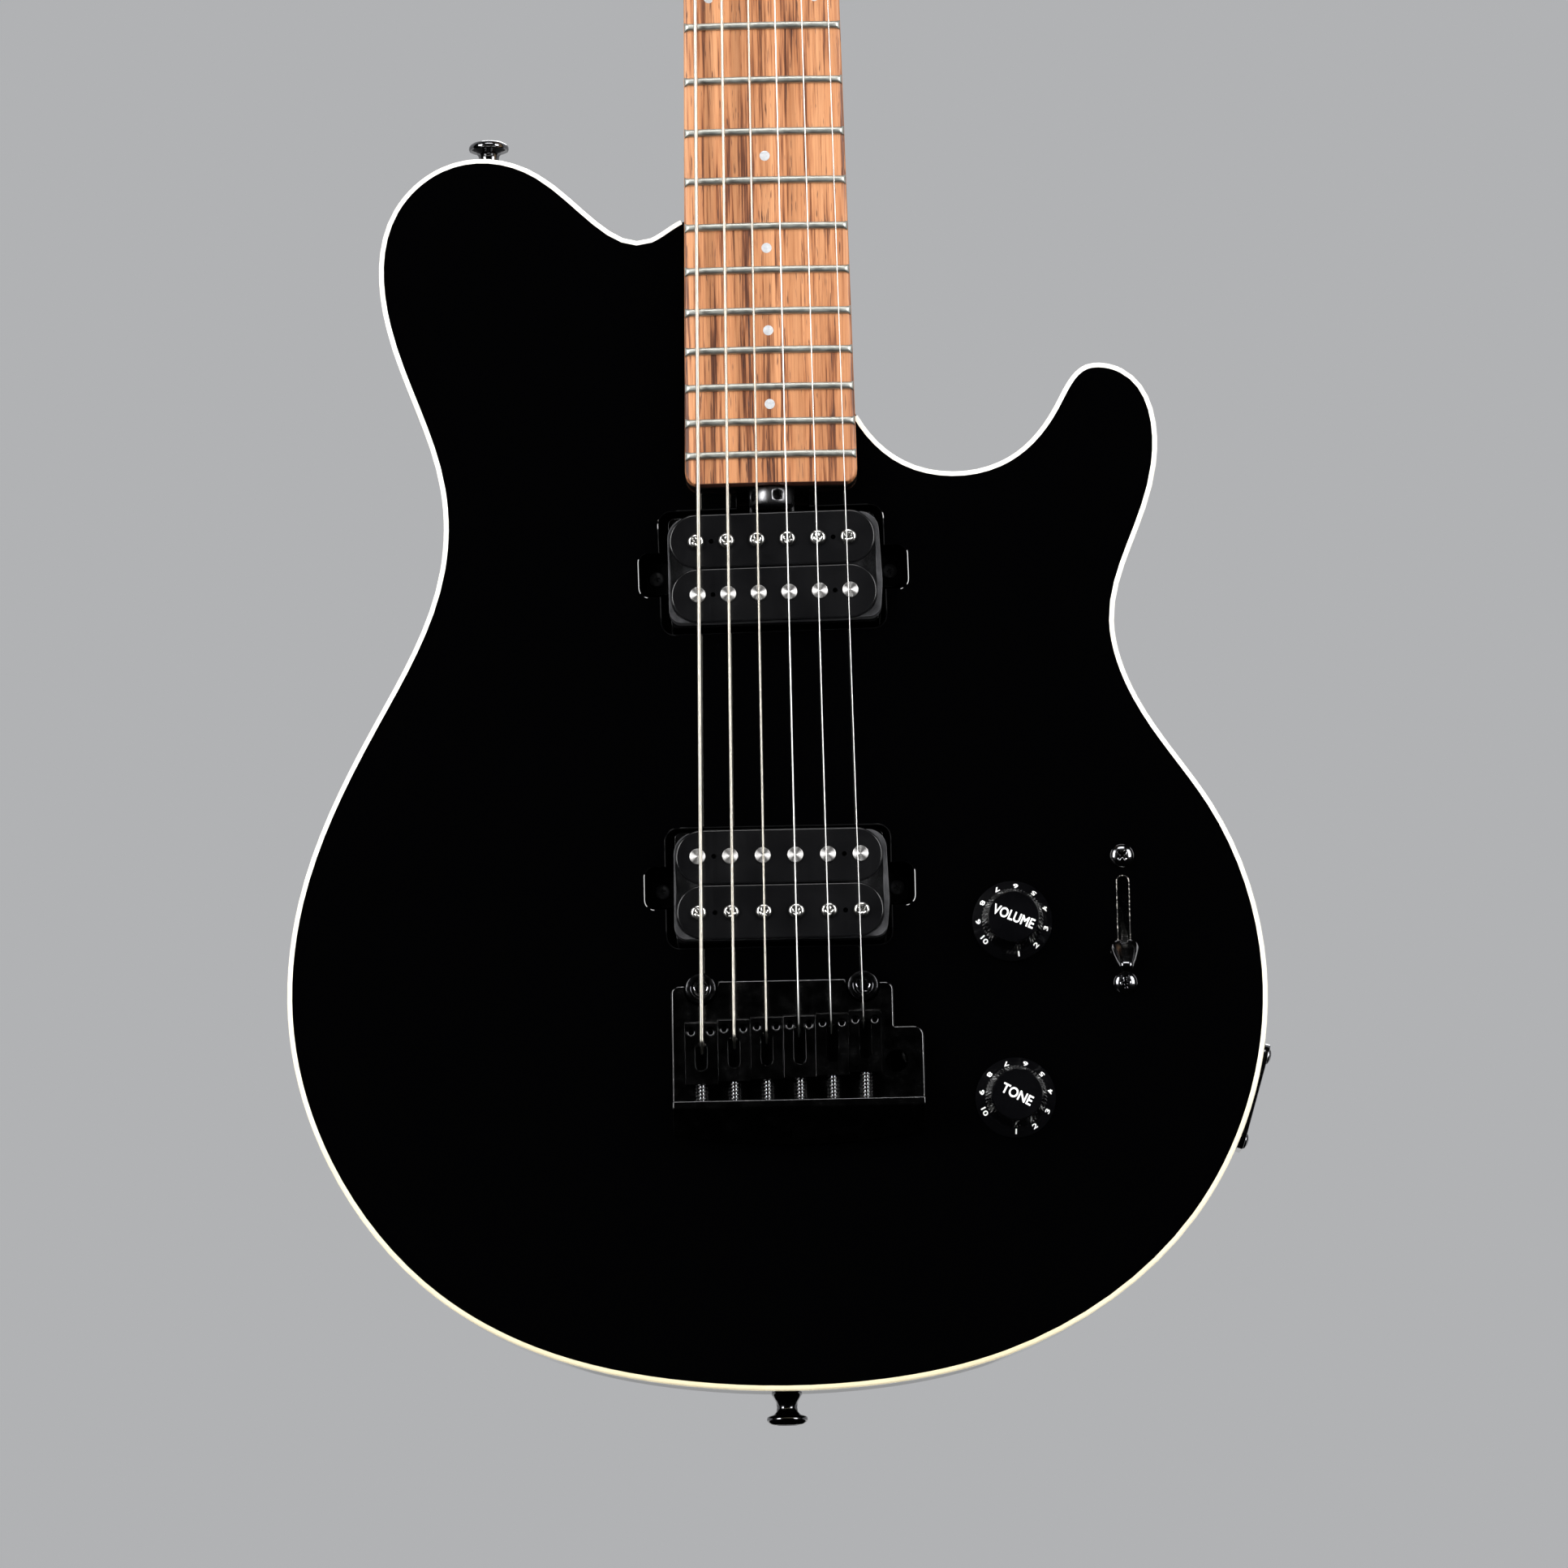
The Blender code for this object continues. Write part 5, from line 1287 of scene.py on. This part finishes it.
def print_mark(name, text, height, place, body, width=None):
    """Printed figure or word, made flat facing -Y about its own middle and put at its place."""
    curve = bpy.data.curves.new(name, "FONT")
    curve.body = text
    curve.size = height * MM / 0.70
    curve.align_x = "CENTER"
    curve.align_y = "CENTER"
    curve.extrude = 0.03 * MM
    curve.offset = 0.032 * height * MM
    curve.resolution_u = 6
    flat = stand(name + "_type", curve)
    bpy.context.view_layer.update()
    mesh = bpy.data.meshes.new_from_object(flat.evaluated_get(bpy.context.evaluated_depsgraph_get()))
    bpy.data.objects.remove(flat, do_unlink=True)
    points = np.array([v.co for v in mesh.vertices])
    low, high = points.min(0), points.max(0)
    mesh.transform(Matrix.Translation(-Vector((low + high) / 2)))
    mesh.transform(Matrix.Diagonal((width * MM / (high[0] - low[0]) if width else 1.0,
                                    height * MM / (high[1] - low[1]), 1, 1)))
    mesh.transform(Matrix.Rotation(math.radians(90), 4, "X"))
    mesh.transform(place)
    return settle(stand(name, mesh), "print", "bone", body)


def knob_radius(along):
    """Outer radius of the plain knob at a height above the body."""
    return float(np.interp(along, [0.3, 1.6, 4.4, 5.0, 14.6, 15.2, 15.5],
                           [12.85, 12.85, 10.5, 9.9, 8.3, 8.1, 7.8]))


def make_knob(label, word, word_width, first_angle, word_turn):
    """Skirted knob: fine flutes up its side, figures 1 to 10 on the skirt and its name on top."""
    x, _, z = middle(label + "_knob")
    flutes, per = 54, 4
    steps = flutes * per
    heights = [0.3, 1.0, 1.6, 2.6, 3.6, 4.4, 5.0, 5.5, 8.0, 11.0, 14.0, 14.6, 14.9, 15.2, 15.4, 15.5]
    rings = [[(radius * c, height, radius * s) for c, s in circle(1.0, steps)]
             for radius, height in ((3.0, -15.0), (3.0, 4.5), (7.0, 4.5), (7.0, 0.3))]
    for height in heights:
        radius = knob_radius(height)
        ring = []
        for k, (c, s) in enumerate(circle(1.0, steps)):
            groove = 0.36 if 5.4 < height < 14.7 and k % per in (0, 1) else 0.0
            ring.append(((radius - groove) * c, height, (radius - groove) * s))
        rings.append(ring)
    rings.append([(7.4 * c, 15.5, 7.4 * s) for c, s in circle(1.0, steps)])
    knob = loft(label + "_dial", rings, 36)
    knob.data.transform(Matrix.Diagonal((1, -1, 1, 1)))
    knob.data.flip_normals()
    knob.data.transform(Matrix.Translation(Vector((x, FRONT, z)) * MM))
    settle(knob, "knob", "black_plastic", label + "_knob", [label + "_knob"])

    slope = math.atan2(knob_radius(1.6) - knob_radius(4.4), 2.8)
    tilt = Matrix.Rotation(math.pi / 2 - slope, 4, "X")
    out = Matrix.Translation(Vector((0, 0, -knob_radius(FIGURE_HEIGHT))) * MM)
    lift = Matrix.Translation(Vector((x, FRONT - FIGURE_HEIGHT, z)) * MM)
    for number in range(1, 11):
        angle = math.radians(first_angle - FIGURE_STEP * (number - 1))
        spin = Matrix.Rotation(angle + math.pi, 4, "Y")
        print_mark("%s_figure_%d" % (label, number), str(number), 2.35, lift @ spin @ out @ tilt,
                   label + "_knob")
    spin = Matrix.Rotation(math.radians(word_turn), 4, "Y")
    place = Matrix.Translation(Vector((x, FRONT - 15.53, z)) * MM) @ spin
    print_mark(label + "_word", word, 3.3, place, label + "_knob", word_width)


def make_selector():
    """Flat lever with a tapered metal cap, a speckled edge round the slot and two mounting screws."""
    x, z = SWITCH_AT
    lean = (Matrix.Translation(Vector((x, SWITCH_PIVOT, z)) * MM)
            @ Matrix.Rotation(math.radians(LEVER_LEAN), 4, "X"))
    blade = round_edges(box("lever_blade", (-1.0, -21.5, -3.0), (1.0, 3.0, 3.0)), 0.3, 2)
    blade.data.transform(lean)
    settle(blade, "steel", "steel", "selector_lever")
    cap_rings = []
    for along, wide, tall in ((20.3, 3.7, 2.2), (20.6, 4.25, 2.6), (21.3, 4.45, 2.75), (22.5, 4.4, 2.75),
                              (25.0, 3.75, 2.5), (28.0, 2.9, 2.1), (29.5, 2.35, 1.8), (30.4, 2.1, 1.6),
                              (31.0, 1.7, 1.3), (31.3, 1.1, 0.8), (31.4, 0.3, 0.2)):
        drop = 0.9 + 0.33 * (along - 20.3)
        cap_rings.append([(wide * math.copysign(abs(c) ** 0.7, c), -along,
                           tall * math.copysign(abs(t) ** 0.7, t) - drop) for c, t in circle(1.0, 40)])
    cap = loft("lever_cap", cap_rings, 40)
    cap.data.transform(lean)
    settle(cap, "chrome", "black_metal", "selector_lever", ["selector_lever"])
    rim = [offset_loop(SWITCH_SLOT, out) for out in (0.34, 0.05)]
    edge = prism("switch_slot_edge", rim[0], FRONT - 0.10, FRONT + 0.5)
    cut(edge, prism("way", rim[1], FRONT - 3, FRONT + 3))
    settle(edge, "liner", "black_plastic")
    for k, screw_z in enumerate(SWITCH_SCREWS):
        domed_screw("switch_screw_%d" % (k + 1), (x, FRONT - 0.02, screw_z), (0, -1, 0), 3.85, 2.4,
                    turn=0.75 + 0.9 * k)


def make_jack():
    """Plate with a dished middle; the socket's nut sits at the bottom of the dish."""
    along, centre = RIM_OUT, JACK_CENTRE
    up = along.cross(Vector((0, 1, 0)))
    plate = on_rim(prism("jack_plate_oval", rounded_box(-11.5, 11.5, -17.7, 17.7, 5.0, 8), -1.0, 0.9), 0.0)
    under, wall = -DISH_DEPTH - DISH_WALL, DISH_RADIUS + DISH_WALL
    weld(plate, turned("dish", [(wall - 1.0, under), (wall, under + 1.0), (wall, 0)], centre, along))
    bowl = [(DISH_RADIUS - 0.8, -DISH_DEPTH), (DISH_RADIUS, 0.8 - DISH_DEPTH), (DISH_RADIUS, 0.3),
            (DISH_RADIUS + 0.7, 1.0), (DISH_RADIUS + 0.7, 4)]
    cut(plate, turned("bowl", bowl, centre, along),
        turned("hole", [(4.9, -9), (4.9, 4)], centre, along, 32))
    round_edges(plate, 0.3, 2)
    settle(plate, "chrome", "black_metal", replaces=["jack_plate"])
    for side in (-1, 1):
        domed_screw("jack_screw_%s" % ("lower" if side < 0 else "upper"),
                    centre + along * 0.9 + up * (JACK_SCREWS * side), along, 2.6, 1.5, turn=0.5 + side)
    seat = -DISH_DEPTH
    washer = [(7.4, seat + 0.02), (7.4, seat + 0.5), (7.1, seat + 0.6), (4.75, seat + 0.6),
              (4.75, seat + 0.02)]
    settle(turned("jack_washer", washer, centre, along, 48), "steel", "steel")
    hexagon = [(6.5, seat + 0.6), (6.5, seat + 2.4), (6.1, seat + 2.7), (4.75, seat + 2.7),
               (4.75, seat + 0.6)]
    settle(round_edges(turned("jack_nut", hexagon, centre, along, 6, 20), 0.25, 2), "steel", "steel")
    case = under - 0.3
    sleeve = [(8.0, case - 16), (8.0, case), (4.7, case), (4.7, seat + 3.0), (4.4, seat + 3.4),
              (3.7, seat + 3.4), (3.4, seat + 3.0), (3.4, case - 14)]
    settle(turned("jack_sleeve", sleeve, centre, along, 48), "steel", "steel", replaces=["output_jack"])


def make_strap_buttons():
    profile = [(4.9, -0.3), (4.9, 0.4), (4.3, 1.4), (3.5, 2.8), (3.3, 4.4), (3.5, 5.8), (4.4, 6.8),
               (5.8, 7.2), (6.4, 7.5), (6.6, 8.1), (6.55, 8.7), (6.2, 9.3), (5.4, 9.9), (4.3, 10.2),
               (3.7, 10.2), (3.3, 9.6), (2.6, 9.3)]
    for name, axis in (("upper", (0, 0, 1)), ("end", (0, 0, -1))):
        low, high = extent("strap_button_" + name)
        at = middle("strap_button_" + name)
        at[2] = low[2] if name == "upper" else high[2]
        button = turned("strap_peg_" + name, profile, at, axis, 64, 60)
        settle(button, "chrome", "black_metal", replaces=["strap_button_" + name])
        domed_screw("strap_screw_" + name, Vector(at) + Vector(axis) * 9.2, axis, 2.9, 0.9)


def dress_hidden_nodes():
    """Parts that stay as the CAD made them still get their material."""
    slots = {row["node"]: row["material_slot"] for row in frame["record"]["subparts"]}
    for name, piece in frame["nodes"].items():
        piece.data.materials.clear()
        piece.data.materials.append(LOOKS[SLOT_LOOKS[slots[name]]])


# ---------------------------------------------------------------- stage

def make_stage():
    """Pale floor, and a black flag in front of it that only reflections see, so the lacquer stays black."""
    floor_look, tree, shader = start_look("studio_floor", (0.70, 0.70, 0.69), 0.6, specular_ior_level=0.0)
    cloud = scaled_noise(tree, EVEN, 2.5, 3.0)
    paint(tree, shader, ramp(tree, cloud, [(0.3, (0.66, 0.66, 0.65)), (0.7, (0.72, 0.72, 0.71))]))
    mesh = bpy.data.meshes.new("floor")
    reach, drop = 30.0, float(CAD_BOX[0].z) - 0.15
    corners = ((-reach, -reach), (reach, -reach), (reach, reach), (-reach, reach))
    mesh.from_pydata([(x, y, drop) for x, y in corners], [], [(0, 1, 2, 3)])
    mesh.materials.append(floor_look)
    stand("floor", mesh)

    flag_look = start_look("black_flag", (0.001, 0.001, 0.001), 1.0, specular_ior_level=0.0)[0]
    mesh = bpy.data.meshes.new("flag")
    side, front, rear, top, low = 3.0, -3.4, 0.3, 2.6, drop + 0.01
    mesh.from_pydata([(x, y, z) for z in (low, top) for y in (front, rear) for x in (-side, side)], [],
                     [(0, 1, 5, 4), (0, 4, 6, 2), (1, 3, 7, 5), (4, 5, 7, 6), (0, 2, 3, 1)])
    mesh.materials.append(flag_look)
    flag = stand("flag", mesh)
    flag.visible_camera = flag.visible_diffuse = flag.visible_shadow = False

    world = bpy.data.worlds.new("studio")
    world.use_nodes = True
    sky = world.node_tree.nodes["Background"].inputs
    sky["Color"].default_value = (0.80, 0.81, 0.83, 1.0)
    sky["Strength"].default_value = 0.55
    bpy.context.scene.world = world


def area_light(name, at, aim, size, power):
    lamp = bpy.data.lights.new(name, "AREA")
    lamp.shape = "RECTANGLE"
    lamp.size, lamp.size_y = size
    lamp.energy = power
    made = stand(name, lamp)
    made.location = at
    made.rotation_euler = (Vector(at) - Vector(aim)).to_track_quat("Z", "Y").to_euler()


def make_lights():
    target = (0, -0.04, 0.15)
    area_light("bass_softbox", (-1.6, -1.4, 0.75), target, (0.8, 1.5), 44)
    area_light("treble_softbox", (1.6, -1.4, 0.75), target, (0.8, 1.5), 38)
    area_light("overhead", (0, -1.3, 1.9), target, (1.2, 0.5), 16)
    area_light("rear", (0.3, 1.8, 1.8), target, (1.4, 0.8), 24)


def make_camera():
    """Long lens 2 m in front, a little below the body and looking up the guitar."""
    lean, roll = math.radians(CAMERA_LEAN), math.radians(CAMERA_ROLL)
    ahead = Vector((0, math.cos(lean), math.sin(lean)))
    up_plain = Vector((0, -math.sin(lean), math.cos(lean)))
    right = Vector((1, 0, 0)) * math.cos(roll) - up_plain * math.sin(roll)
    up = Vector((1, 0, 0)) * math.sin(roll) + up_plain * math.cos(roll)
    aim = Vector((CAMERA_AIM[0], BOARD_TOP, SADDLE_LINE + CAMERA_AIM[1])) * MM
    data = bpy.data.cameras.new("camera")
    data.sensor_width = 36.0
    data.lens = CAMERA_LENS
    data.clip_start, data.clip_end = 0.05, 200.0
    camera = stand("camera", data)
    basis = Matrix((right, up, -ahead)).transposed().to_4x4()
    camera.matrix_world = Matrix.Translation(aim - ahead * CAMERA_REACH) @ basis
    bpy.context.scene.camera = camera


# ---------------------------------------------------------------- making everything

def main():
    dress_hidden_nodes()
    make_body()
    make_binding()
    make_neck()
    make_fretboard()
    make_inlays()
    make_nut()
    make_truss_wheel()
    for index in range(6):
        make_string(index)
        make_tuner(index)
        make_saddle(index)
    make_pickup("neck", NECK_PICKUP, NECK_PICKUP_TURN, 9.87, 8.7, True)
    make_pickup("bridge", BRIDGE_PICKUP, 0.0, 10.48, 9.1, False)
    make_tremolo()
    make_springs()
    make_covers()
    make_knob("volume", "VOLUME", 14.0, 170.7, 23.5)
    make_knob("tone", "TONE", 10.6, 181.2, 28.2)
    make_selector()
    make_jack()
    make_strap_buttons()
    make_stage()
    make_lights()
    make_camera()
    bpy.context.scene.view_settings.view_transform = "Standard"


main()
